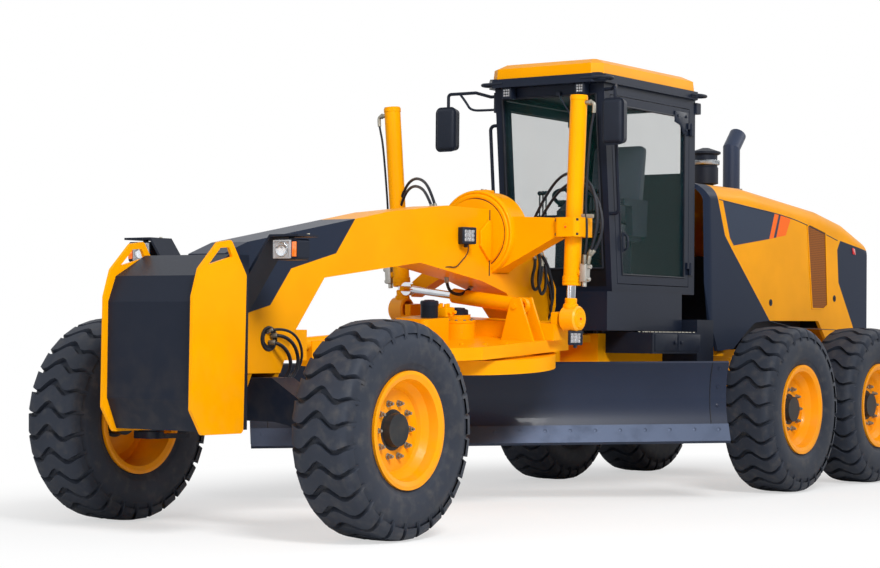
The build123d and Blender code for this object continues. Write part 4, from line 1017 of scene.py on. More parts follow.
    def plate(
        self, name: str, outline: Sequence[Point], depth: Point, roll: float = 0.003, steps: int = 2
    ) -> bpy.types.Object:
        """A flat outline pulled through a depth, its edges rolled.

        Args:
            name: name of the piece.
            outline: corners of the flat shape.
            depth: how far and which way it is pulled.
            roll: width of the rolled edges.
            steps: segments of the roll.

        Returns:
            The piece.
        """
        self.clear()
        points = [Vector(p) for p in outline]
        bpy.ops.mesh.primitive_plane_add(size=0.01, location=points[0])
        bpy.ops.object.mode_set(mode="EDIT")
        bpy.ops.mesh.select_mode(type="VERT")
        bpy.ops.mesh.select_all(action="SELECT")
        bpy.ops.mesh.merge(type="CENTER")
        for here, there in zip(points, points[1:] + points[:1]):
            bpy.ops.mesh.extrude_vertices_move(TRANSFORM_OT_translate={"value": there - here})
        bpy.ops.mesh.select_all(action="SELECT")
        bpy.ops.mesh.remove_doubles(threshold=0.00005)
        bpy.ops.mesh.select_all(action="SELECT")
        bpy.ops.mesh.edge_face_add()
        bpy.ops.mesh.extrude_region_move(TRANSFORM_OT_translate={"value": Vector(depth)})
        bpy.ops.mesh.select_all(action="SELECT")
        bpy.ops.mesh.normals_make_consistent(inside=False)
        if roll:
            bpy.ops.mesh.bevel(offset=roll, segments=steps, affect="EDGES")
        bpy.ops.object.mode_set(mode="OBJECT")
        return self.named(name)

    def sheet(self, name: str, rows: Sequence[Sequence[Point]], thickness: float = 0.0) -> bpy.types.Object:
        """A grid whose points are moved onto the given rows, thickened if asked.

        Args:
            name: name of the piece.
            rows: rows of points.
            thickness: wall that is added, 0 for none.

        Returns:
            The piece.
        """
        self.clear()
        across, down = len(rows[0]), len(rows)
        bpy.ops.mesh.primitive_grid_add(x_subdivisions=across - 1, y_subdivisions=down - 1, size=1)
        piece = bpy.context.object
        for index, vertex in enumerate(piece.data.vertices):
            vertex.co = rows[index // across][index % across]
        piece = self.named(name)
        if thickness:
            self.modify(piece, "SOLIDIFY", thickness=thickness, offset=0.0)
        return piece

    def pipe(
        self, name: str, points: Sequence[Point], radius: float, order: int = 3, fine: int = 3
    ) -> bpy.types.Object:
        """A round hose or rod along a smooth line through its control points.

        Args:
            name: name of the piece.
            points: control points of the line.
            radius: radius of the piece.
            order: order of the spline.
            fine: how round the section is.

        Returns:
            The piece.
        """
        self.clear()
        data = bpy.data.curves.new(name, "CURVE")
        data.dimensions, data.bevel_depth, data.bevel_resolution = "3D", radius, fine
        data.use_fill_caps, data.resolution_u = True, 10
        line = data.splines.new("NURBS")
        line.points.add(len(points) - 1)
        for knot, point in zip(line.points, points):
            knot.co = (*point, 1.0)
        line.order_u = order
        line.use_endpoint_u = True
        piece = bpy.data.objects.new(name, data)
        bpy.context.scene.collection.objects.link(piece)
        self.hold(piece)
        bpy.ops.object.convert(target="MESH")
        return self.named(name)

    def bolt(
        self, foot: Point, way: Point, radius: float = 0.012, height: float = 0.01,
    ) -> bpy.types.Object:
        """A hexagon bolt head on its washer, pointing a way from its foot.

        Args:
            foot: middle of its seat.
            way: direction that it points.
            radius: radius of the piece.
            height: height of the head.

        Returns:
            The piece.
        """
        start, along = Vector(foot), Vector(way).normalized()
        washer = self.bar("washer", start, start + along * height * 0.3, radius * 1.35, 20, height * 0.08)
        head = self.bar("head", start, start + along * height, radius, 6, height * 0.14)
        return self.join("bolt", [washer, head])

    def bolts(
        self, name: str, feet: Sequence[Point], way: Point, radius: float = 0.012, height: float = 0.01,
    ) -> bpy.types.Object:
        """One bolt head, copied to each foot.

        Args:
            name: name of the piece.
            feet: where each one stands.
            way: direction that it points.
            radius: radius of the piece.
            height: height of the head.

        Returns:
            The piece.
        """
        first = self.bolt(feet[0], way, radius, height)
        moves = [Matrix.Translation(Vector(foot) - Vector(feet[0])) for foot in feet]
        return self.copies(name, first, moves)

    def panel(
        self,
        name: str,
        centre: Point,
        way: Point,
        width: float,
        height: float,
        depth: float,
        roll: float = 0.004,
        up: Point = (0, 0, 1),
    ) -> bpy.types.Object:
        """A flat block standing on its back's centre, facing a way, its face inset and raised a little.

        Args:
            name: name of the piece.
            centre: point that it is measured from.
            way: direction that it points.
            width: width across its way.
            height: height across its way.
            depth: how thick it is.
            roll: width of the rolled edges.
            up: which way its top points.

        Returns:
            The piece.
        """
        out = Vector(way).normalized()
        side = Vector(up).cross(out).normalized()
        rise = out.cross(side)
        corners = [
            Vector(centre) + side * a * width / 2 + rise * b * height / 2
            for a, b in ((-1, -1), (1, -1), (1, 1), (-1, 1))
        ]
        return self.plate(name, corners, out * depth, roll)

    def touch(self, node: str, start: Point, way: Point) -> tuple[bool, Vector, Vector]:
        """Where a line from a point meets a CAD node: found or not, place and normal."""
        found, place, normal, _ = frame["nodes"][node].ray_cast(Vector(start), Vector(way).normalized())
        return found, place, normal

    def modify(self, piece: bpy.types.Object, kind: str, **settings: object) -> None:
        """Adds a modifier, sets it and applies it.

        Args:
            piece: piece to work on.
            kind: the modifier's type.
            settings: the modifier's settings.
        """
        self.hold(piece)
        modifier = piece.modifiers.new("step", kind)
        for key, value in settings.items():
            setattr(modifier, key, value)
        bpy.ops.object.modifier_apply(modifier=modifier.name)

    def copies(self, name: str, piece: bpy.types.Object, places: Sequence[Matrix]) -> bpy.types.Object:
        """Copies a piece to each place, joins the copies and removes the first.

        Args:
            name: name of the piece.
            piece: piece to work on.
            places: matrix of each copy.

        Returns:
            The piece.
        """
        made = []
        for place in places:
            other = piece.copy()
            other.data = piece.data.copy()
            other.data.transform(place)
            if place.determinant() < 0:
                other.data.flip_normals()
            bpy.context.scene.collection.objects.link(other)
            made.append(other)
        bpy.data.objects.remove(piece)
        return self.join(name, made)

    def join(self, name: str, parts: Sequence[bpy.types.Object]) -> bpy.types.Object:
        """Joins parts into one piece.

        Args:
            name: name of the piece.
            parts: pieces to join.

        Returns:
            The piece.
        """
        self.clear()
        for part in parts:
            part.select_set(True)
        bpy.context.view_layer.objects.active = parts[0]
        bpy.ops.object.join()
        parts[0].name = name
        return parts[0]

    def finish(
        self, piece: bpy.types.Object, finish: Finish, body: str, angle: float = 32.0,
    ) -> bpy.types.Object:
        """Smooths a piece, lays its finish and lets it ride on a body.

        Args:
            piece: piece to work on.
            finish: finish that it gets.
            body: body that it rides on.
            angle: sharpest turn that is shaded smooth, in degrees.

        Returns:
            The piece.
        """
        self.hold(piece)
        bpy.ops.object.shade_smooth_by_angle(angle=math.radians(angle))
        finish.lay(piece)
        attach(piece, body)
        log.info("%s rides on %s", piece.name, body)
        self.clear()
        return piece


BENCH = Bench()


@dataclass
class Wheels:
    """Six tyres with road tread, and the nuts on their rims."""

    axle_x: float = 3.719
    tandem_x: tuple = (-1.731, -3.269)
    tread: float = 1.1
    radius: float = 0.6745
    crown: float = 0.642
    bars: int = 28
    nuts: int = 10
    nut_circle: float = 0.168
    nut_face: float = 0.070
    wave: tuple = (
        (0.000, 0.034, 0.048, 0.0),
        (0.030, 0.024, 0.049, 0.0),
        (0.065, -0.004, 0.050, 0.0),
        (0.105, -0.034, 0.053, 0.002),
        (0.140, -0.038, 0.055, 0.005),
        (0.172, -0.026, 0.056, 0.010),
        (0.196, -0.014, 0.056, 0.026),
        (0.210, -0.010, 0.055, 0.050),
        (0.217, -0.008, 0.052, 0.082),
    )

    def places(self) -> list[tuple[str, Point, int]]:
        """Name, centre and side of each wheel.

        Returns:
            Rows of name, centre and side.
        """
        rows = []
        for side_name, side in (("left", 1), ("right", -1)):
            rows.append((f"front_{side_name}", (self.axle_x, side * self.tread, self.radius), side))
            for end, x in zip(("front", "rear"), self.tandem_x):
                rows.append((f"tandem_{side_name}_{end}", (x, side * self.tread, self.radius), side))
        return rows

    def bar(self) -> bpy.types.Object:
        """One wavy bar of the tread, laid out flat: x round the tyre, z across it, minus y outward.

        Returns:
            The bar.
        """
        top, flare, sunk = self.crown - self.radius, 0.010, 0.02
        rows = []
        for side, table in ((-1, reversed(self.wave)), (1, self.wave[1:])):
            for across, shift, half, drop in table:
                z = side * across
                rows.append(
                    [
                        (shift - half - flare, sunk + drop, z),
                        (shift - half, top + drop, z),
                        (shift + half, top + drop, z),
                        (shift + half + flare, sunk + drop, z),
                    ]
                )
        return BENCH.sheet("bar", rows)

    def tread_ring(self) -> bpy.types.Object:
        """The bars, repeated along a strip and bent round into a ring.

        Returns:
            The ring.
        """
        pitch = math.tau * self.crown / self.bars
        strip = self.bar()
        BENCH.modify(
            strip,
            "ARRAY",
            count=self.bars,
            use_relative_offset=False,
            use_constant_offset=True,
            constant_offset_displace=(pitch, 0, 0),
        )
        reach = [v.co.x for v in strip.data.vertices]
        BENCH.modify(
            strip,
            "SIMPLE_DEFORM",
            deform_method="BEND",
            deform_axis="Z",
            angle=(max(reach) - min(reach)) / self.crown,
        )
        strip.data.transform(Matrix.Translation((0, -self.crown, 0)))
        strip.data.transform(Matrix.Rotation(math.radians(90), 4, "X"))
        return strip

    def carcass(self) -> bpy.types.Object:
        """The tyre under its lugs.

        Returns:
            The carcass.
        """
        half = (
            (0.0, self.crown),
            (0.100, self.crown - 0.002),
            (0.160, self.crown - 0.010),
            (0.192, self.crown - 0.030),
            (0.208, 0.585),
            (0.214, 0.560),
            (0.219, 0.552),
            (0.2225, 0.500),
            (0.218, 0.450),
            (0.208, 0.412),
            (0.203, 0.404),
            (0.196, 0.398),
            (0.189, 0.378),
            (0.184, 0.366),
            (0.170, 0.350),
            (0.160, 0.334),
        )
        whole = [(-a, r) for a, r in reversed(half)] + list(half[1:])
        return BENCH.lathe("carcass", whole, (0, 0, 0), (0, 1, 0), 96)

    def tyres(self) -> None:
        """Makes one tyre and stands a copy at each wheel."""
        pattern = BENCH.join("tyre_pattern", [self.carcass(), self.tread_ring()])
        for name, centre, side in self.places():
            place = Matrix.Translation(centre) @ Matrix.Scale(side, 4, (0, 1, 0))
            tyre = pattern.copy()
            tyre.data = pattern.data.copy()
            tyre.data.transform(place)
            if side < 0:
                tyre.data.flip_normals()
            tyre.name = "tread_tyre_" + name
            bpy.context.scene.collection.objects.link(tyre)
            BENCH.finish(tyre, TYRE, "wheel_" + name, 40)
            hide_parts("tyre_" + name)
        bpy.data.objects.remove(pattern)

    def hardware(self) -> None:
        """Wheel nuts on their circle, on every rim."""
        for name, (x, y, z), side in self.places():
            foot = Vector((x + self.nut_circle, y + side * self.nut_face, z))
            out = Vector((0, side, 0))
            nut = BENCH.bar("nut", foot, foot + out * 0.026, 0.0165, 6)
            stud = BENCH.bar("stud", foot, foot + out * 0.042, 0.0095, 12, 0.0015)
            seat = BENCH.bar("seat", foot, foot + out * 0.006, 0.021, 20, 0.0015)
            one = BENCH.join("nut", [nut, stud, seat])
            hub = Matrix.Translation((x, y, z))
            turns = [
                hub @ Matrix.Rotation(math.tau * i / self.nuts, 4, "Y") @ hub.inverted()
                for i in range(self.nuts)
            ]
            BENCH.finish(BENCH.copies("wheel_nuts_" + name, one, turns), ZINC, "wheel_" + name)

    def build(self) -> None:
        """Tyres and hardware."""
        self.tyres()
        self.hardware()


@dataclass
class Lamp:
    """A square work lamp: housing, celled lens, cooling fins and foot."""

    name: str
    body: str
    centre: Point
    way: Point
    size: float = 0.10
    depth: float = 0.05
    ears: bool = True

    def build(self) -> None:
        """Housing with a sunk lens, facing its way."""
        out = Vector(self.way).normalized()
        centre = Vector(self.centre)
        shell = BENCH.panel("shell", centre, out, self.size, self.size, self.depth, 0.008)
        BENCH.pick(shell, lambda face: face.normal.dot(out) > 0.98 and face.area > 0.3 * self.size**2)
        bpy.ops.mesh.inset(thickness=self.size * 0.09)
        bpy.ops.mesh.extrude_region_move(TRANSFORM_OT_translate={"value": -out * 0.008})
        bpy.ops.object.mode_set(mode="OBJECT")
        parts = [shell]
        if self.ears:
            foot = centre + out * self.depth * 0.4 - Vector((0, 0, self.size * 0.5))
            low, high = foot - Vector((0, 0, 0.022)), foot + Vector((0, 0, 0.012))
            parts.append(BENCH.bar("foot", high, low, 0.014, 20))
            fin = BENCH.panel("fin", centre - out * 0.008, out, self.size * 0.7, 0.004, 0.014, 0.001)
            rises = [Matrix.Translation((0, 0, (step - 2) * self.size * 0.15)) for step in range(5)]
            parts.append(BENCH.copies("fins", fin, rises))
        BENCH.finish(BENCH.join(self.name + "_housing", parts), TRIM, self.body)
        inner = self.size * 0.80
        lens = BENCH.panel("lens", centre + out * (self.depth - 0.013), out, inner, inner, 0.007, 0.003)
        low, high = centre + out * (self.depth - 0.008), centre + out * (self.depth - 0.001)
        cell = BENCH.bar("cell", low, high, inner * 0.14, 20, 0.003)
        side = Vector((0, 0, 1)).cross(out).normalized()
        rise = out.cross(side)
        pitch = inner * 0.31
        spots = [
            Matrix.Translation(side * (i - 1) * pitch + rise * (j - 1) * pitch)
            for i in range(3) for j in range(3)
        ]
        cells = BENCH.copies("cells", cell, spots)
        BENCH.finish(BENCH.join(self.name + "_lens", [lens, cells]), CLEAR, self.body)


@dataclass
class Lamps:
    """Work lamps on the frame, the cab and the drawbar, and the glass of the headlamps."""

    head_x: float = 4.08
    head_y: tuple = (0.514, 0.655, 0.662, 0.696)
    head_z: tuple = (1.712, 1.828)

    def headlamps(self) -> None:
        """Reflector glass and the amber marker in each headlamp."""
        for name, side in (("left", 1), ("right", -1)):
            inner, outer, amber_in, amber_out = (side * y for y in self.head_y)
            low, high = self.head_z
            glass = BENCH.box(
                f"headlamp_glass_{name}",
                (self.head_x, min(inner, outer), low),
                (self.head_x + 0.012, max(inner, outer), high),
                0.005,
            )
            BENCH.pick(glass, lambda face: face.normal.x > 0.9)
            bpy.ops.mesh.inset(thickness=0.008)
            bpy.ops.mesh.extrude_region_move(TRANSFORM_OT_translate={"value": (-0.004, 0, 0)})
            bpy.ops.object.mode_set(mode="OBJECT")
            BENCH.finish(glass, CLEAR, "front_frame")
            bowl = BENCH.lathe(
                f"headlamp_bowl_{name}",
                (
                    (0.012, 0.0001), (0.013, 0.022), (0.0135, 0.038), (0.016, 0.043), (0.0135, 0.046),
                    (0.008, 0.047), (0.008, 0.0001),
                ),
                (self.head_x, (inner + outer) / 2, (low + high) / 2),
                (1, 0, 0),
                40,
            )
            BENCH.finish(bowl, SILVER, "front_frame")
            amber = BENCH.box(
                f"headlamp_marker_{name}",
                (self.head_x, min(amber_in, amber_out), low + 0.012),
                (self.head_x + 0.010, max(amber_in, amber_out), high - 0.012),
                0.004,
            )
            BENCH.finish(amber, AMBER, "front_frame")
            bolts = BENCH.bolts(
                f"headlamp_bolts_{name}",
                [(3.95, side * 0.54, 1.862), (3.95, side * 0.68, 1.862)],
                (0, 0, 1),
                0.010,
                0.009,
            )
            BENCH.finish(bolts, ZINC, "front_frame")

    def build(self) -> None:
        """All lamps."""
        self.headlamps()
        for name, side in (("left", 1), ("right", -1)):
            Lamp(
                f"frame_lamp_{name}",
                "front_frame",
                (1.50, side * 0.150, 1.97),
                (0.42, side * 1.0, 0),
                0.122,
                0.085,
            ).build()
            shade = BENCH.box(
                f"frame_lamp_box_{name}",
                (1.449, min(side * 0.149, side * 0.208), 1.919),
                (1.551, max(side * 0.149, side * 0.208), 2.021),
                0.012,
            )
            BENCH.finish(shade, TRIM, "front_frame")
            wire = BENCH.pipe(
                f"frame_lamp_wire_{name}",
                [
                    (1.50, side * 0.19, 1.925),
                    (1.50, side * 0.20, 1.88),
                    (1.49, side * 0.175, 1.83),
                    (1.53, side * 0.16, 1.79),
                    (1.60, side * 0.158, 1.735),
                    (1.70, side * 0.156, 1.745),
                    (1.78, side * 0.13, 1.725),
                ],
                0.004,
            )
            BENCH.finish(wire, HOSE, "front_frame")
            Lamp(
                f"cab_lamp_front_{name}",
                "rear_frame",
                (0.166, side * 0.335, 3.1585),
                (1, 0, 0),
                0.088,
                0.052,
                False,
            ).build()
            Lamp(
                f"cab_lamp_rear_{name}",
                "rear_frame",
                (-1.375, side * 0.47, 3.135),
                (-1, 0, 0),
                0.086,
                0.046,
                False,
            ).build()
            Lamp(
                f"drawbar_lamp_{name}",
                "drawbar",
                (1.000, side * 0.795, 1.245),
                (0.8, side * 0.6, -0.1),
                0.105,
                0.045,
            ).build()


class Deck:
    """The drawbar's plane through its front ball, which the circle and the blade follow."""

    ball: Vector = Vector((3.23, 0.0, 1.18))
    fore: Vector = Vector((0.998135, -0.002663, -0.06099))
    rise: Vector = Vector((0.061049, 0.043538, 0.997185))
    port: Vector = rise.cross(fore)

    @classmethod
    def at(cls, back: float, left: float, up: float) -> Vector:
        """Machine point for a place on the deck: back from the ball, to the left, and up."""
        return cls.ball - cls.fore * back + cls.port * left + cls.rise * up


@dataclass
class LiftTrim:
    """Caps, glands, oil lines and locking valves of the two lift cylinders."""

    radius: float = 0.062
    above: float = 0.960
    below: float = 0.420
    port_level: float = -0.905
    valve_level: float = 0.325
    left: tuple = ((1.012, 0.785, 2.04), (-0.002905, -0.038688, -0.999247))
    right: tuple = ((1.012, -0.785, 2.04), (-0.003218, 0.076931, -0.997031))

    def dress(self, name: str, side: int, swivel: Point, axis: Point) -> None:
        """One cylinder.

        Args:
            name: left or right.
            side: 1 for the machine's left, -1 for its right.
            swivel: middle of the trunnions.
            axis: direction from the swivel to the cup.
        """
        body = "lift_barrel_" + name
        down = Vector(axis).normalized()
        out = (Vector((0, side, 0)) - down * down.y * side).normalized()
        fore = out.cross(down) * side

        def at(level: float, outward: float, forward: float = 0.0) -> Vector:
            """Point by its level under the swivel, its way outboard and its way forward."""
            return Vector(swivel) + down * level + out * outward + fore * forward

        r = self.radius
        cap = BENCH.lathe(
            f"lift_cap_{name}",
            (
                (-self.above + 0.001, 0.0001), (-self.above + 0.001, r - 0.012),
                (-self.above + 0.004, r - 0.002), (-self.above + 0.010, r + 0.0035),
                (-self.above + 0.034, r + 0.0035), (-self.above + 0.040, r - 0.001),
            ),
            swivel,
            down,
            48,
        )
        BENCH.finish(cap, YELLOW, body)
        gland = BENCH.lathe(
            f"lift_gland_{name}",
            (
                (self.below - 0.070, r - 0.001), (self.below - 0.064, r + 0.006),
                (self.below - 0.030, r + 0.006), (self.below - 0.027, r + 0.003),
                (self.below - 0.024, r + 0.006), (self.below - 0.006, r + 0.006),
                (self.below - 0.001, r + 0.001), (self.below - 0.001, 0.034),
            ),
            swivel,
            down,
            48,
        )
        BENCH.finish(gland, YELLOW, body)
        port = BENCH.bar("port", at(self.port_level, r - 0.006), at(self.port_level, r + 0.036), 0.017, 20)
        nut = BENCH.bar("nut", at(self.port_level, r + 0.030), at(self.port_level, r + 0.046), 0.021, 6)
        elbow = BENCH.pipe(
            "elbow",
            [
                at(self.port_level, r + 0.040),
                at(self.port_level, r + 0.066),
                at(-0.86, r + 0.070),
                at(-0.83, r + 0.068),
            ],
            0.014,
        )
        BENCH.finish(BENCH.join(f"lift_port_{name}", [port, nut, elbow]), ZINC, body)
        valve = BENCH.box("valve", (-0.5, -0.5, -0.5), (0.5, 0.5, 0.5), 0.08)
        turn = Matrix((fore, out, -down)).transposed().to_4x4()
        scale = Matrix.Diagonal((0.062, 0.052, 0.130, 1))
        valve.data.transform(Matrix.Translation(at(self.valve_level, r + 0.046)) @ turn @ scale)
        cartridge = [
            BENCH.bar("plug", at(0.28, r + 0.07), at(0.28, r + 0.098), 0.016, 6),
            BENCH.bar("plug", at(0.37, r + 0.07), at(0.37, r + 0.092), 0.014, 20),
            BENCH.bar("foot", at(0.39, r + 0.045), at(0.425, r + 0.045), 0.017, 20),
            BENCH.bar("head", at(0.262, r + 0.045), at(0.235, r + 0.045), 0.019, 6),
        ]
        BENCH.finish(BENCH.join(f"lift_valve_{name}", [valve, *cartridge]), CASTING, body)
        lug = BENCH.bar("lug", at(self.valve_level, r - 0.004), at(self.valve_level, r + 0.024), 0.026, 24)
        strap = BENCH.box("strap", (-0.5, -0.5, -0.5), (0.5, 0.5, 0.5), 0.1)
        strap.data.transform(
            Matrix.Translation(at(-0.085, r + 0.045)) @ turn @ Matrix.Diagonal((0.012, 0.115, 0.030, 1))
        )
        BENCH.finish(lug, YELLOW, body).name = f"lift_lug_{name}"
        BENCH.finish(strap, ZINC, body).name = f"lift_strap_{name}"
        line = BENCH.pipe(
            f"lift_line_{name}",
            [
                at(-0.84, r + 0.068),
                at(-0.80, r + 0.064),
                at(-0.70, r + 0.045),
                at(-0.40, r + 0.034),
                at(-0.12, r + 0.030),
                at(-0.02, r + 0.050),
                at(0.12, r + 0.050),
                at(0.20, r + 0.040),
                at(0.262, r + 0.045),
            ],
            0.0085,
        )
        BENCH.finish(line, HOSE, body)
        ends = [
            BENCH.bar("ferrule", at(0.200, r + 0.080, 0.0), at(0.262, r + 0.070, 0.0), 0.015, 20),
            BENCH.bar("ferrule", at(0.195, r + 0.060, -0.035), at(0.262, r + 0.052, -0.024), 0.014, 20),
        ]
        BENCH.finish(BENCH.join(f"lift_ferrules_{name}", ends), ZINC, body)

    def cup(self, name: str, side: int, swivel: Point) -> None:
        """Collar, cover and grease nipple of the cup at the rod's foot.

        Args:
            name: left or right.
            side: 1 for the machine's left, -1 for its right.
            swivel: middle of the trunnions.
        """
        centre = Deck.at(2.230, side * 0.750, 0.097)
        way = centre - Vector(swivel)
        reach = way.length
        collar = BENCH.lathe(
            "collar",
            (
                (reach - 0.150, 0.0325), (reach - 0.150, 0.040), (reach - 0.144, 0.044),
                (reach - 0.110, 0.044), (reach - 0.104, 0.054), (reach - 0.078, 0.058),
                (reach - 0.070, 0.050),
            ),
            swivel,
            way,
            40,
        )
        face = centre + Vector((0, side * 0.083, 0))
        cover = BENCH.lathe(
            "cover",
            (
                (-0.003, 0.079), (0.0, 0.078), (0.0, 0.070), (0.006, 0.066), (0.007, 0.042),
                (0.003, 0.036), (0.003, 0.0001),
            ),
            face,
            (0, side, 0),
            48,
        )
        BENCH.finish(BENCH.join(f"cup_cover_{name}", [collar, cover]), YELLOW, "lift_rod_" + name)
        # painted glow: the red lens finish makes this grease nipple glow
        nipple = BENCH.bar(
            "nipple", face + Vector((0, side * 0.003, 0)), face + Vector((0, side * 0.016, 0)), 0.006, 12,
        )
        BENCH.finish(nipple, RED, "lift_rod_" + name).name = f"cup_nipple_{name}"

    def build(self) -> None:
        """Both cylinders."""
        for name, side, row in (("left", 1, self.left), ("right", -1, self.right)):
            self.dress(name, side, *row)
            self.cup(name, side, row[0])


@dataclass
class SaddleTrim:
    """Raised rings, tab, clamp bolts and end blocks of the saddle ring that hangs the cylinders."""

    z: float = 2.0
    front: float = 1.130
    half: float = 0.150

    def build(self) -> None:
        """Rings, tab, blocks and bolts."""
        ring = BENCH.lathe(
            "saddle_ring_step",
            ((0.0, 0.300), (0.008, 0.296), (0.010, 0.290), (0.010, 0.276), (0.008, 0.271), (0.0, 0.268)),
            (self.front - 0.0005, 0, self.z), (1, 0, 0), 96,
        )
        BENCH.finish(ring, YELLOW, "front_frame", 50)
        joint = BENCH.lathe(
            "saddle_joint",
            ((0.0, 0.2615), (0.0015, 0.2620), (0.0015, 0.2675), (0.0, 0.2680)),
            (self.front, 0, self.z),
            (1, 0, 0),
            96,
        )
        BENCH.finish(joint, HOSE, "front_frame", 50)
        rim = BENCH.lathe(
            "saddle_outer_bead",
            (
                (-0.052, 0.318), (-0.050, 0.3265), (-0.004, 0.3265), (0.004, 0.322), (0.0065, 0.314),
                (0.004, 0.306), (-0.002, 0.303),
            ),
            (self.front, 0, self.z),
            (1, 0, 0),
            96,
        )
        BENCH.finish(rim, YELLOW, "front_frame", 50)
        tab = BENCH.box("saddle_tab", (0.965, -0.062, 2.312), (1.065, 0.062, 2.334), 0.006)
        BENCH.finish(tab, YELLOW, "front_frame")
        tab_bolts = BENCH.bolts(
            "saddle_tab_bolts", [(0.992, 0, 2.334), (1.038, 0, 2.334)], (0, 0, 1), 0.011, 0.008,
        )
        BENCH.finish(tab_bolts, ZINC, "front_frame")
        for name, side in (("left", 1), ("right", -1)):
            wall = side * (self.half - 0.002)
            wedge = BENCH.plate(
                f"frame_wedge_{name}",
                [(1.158, wall, 2.085), (1.184, wall, 2.100), (1.300, wall, 2.015), (1.300, wall, 1.905),
                 (1.184, wall, 1.800), (1.158, wall, 1.810)],
                (0, side * 0.024, 0), 0.007, 3,
            )
            BENCH.finish(wedge, YELLOW, "front_frame")
            # painted shade: a dark strip on the frame's side wall beside the wedge, standing for the shade
            # in the joint there
            gap_shade = BENCH.plate(
                f"frame_gap_{name}",
                [
                    (1.1545, wall, 2.176), (1.1650, wall, 2.176), (1.1650, wall, 1.690),
                    (1.1545, wall, 1.690),
                ],
                (0, side * 0.0045, 0),
                0.001,
            )
            BENCH.finish(gap_shade, HOSE, "front_frame")
            top_bolts = BENCH.bolts(
                f"saddle_key_{name}",
                [(1.05, side * 0.175, 2.262), (1.09, side * 0.175, 2.262)],
                (0, side * 0.5, 1),
                0.010,
                0.008,
            )
            BENCH.finish(top_bolts, YELLOW, "front_frame")
            cap = BENCH.lathe(
                f"trunnion_cap_{name}",
                (
                    (0.0, 0.0001), (0.008, 0.012), (0.009, 0.030), (0.005, 0.037), (0.0, 0.039),
                    (-0.004, 0.040),
                ),
                (1.114, side * 0.785, 2.04),
                (1, 0, 0),
                40,
            )
            BENCH.finish(cap, YELLOW, "front_frame")
            yoke_bolts = BENCH.bolts(
                f"yoke_bolts_{name}",
                [
                    (1.110, side * 0.868, 2.092), (1.110, side * 0.868, 1.988),
                    (1.110, side * 0.702, 2.092), (1.110, side * 0.702, 1.988),
                ],
                (1, 0, 0),
                0.013,
                0.012,
            )
            BENCH.finish(yoke_bolts, TRIM, "front_frame")
            # painted glow: the red lens finish makes this grease cap glow
            BENCH.finish(
                BENCH.bolt((1.121, side * 0.785, 2.04), (1, 0, 0), 0.007, 0.012), RED, "front_frame"
            ).name = f"grease_cap_{name}"


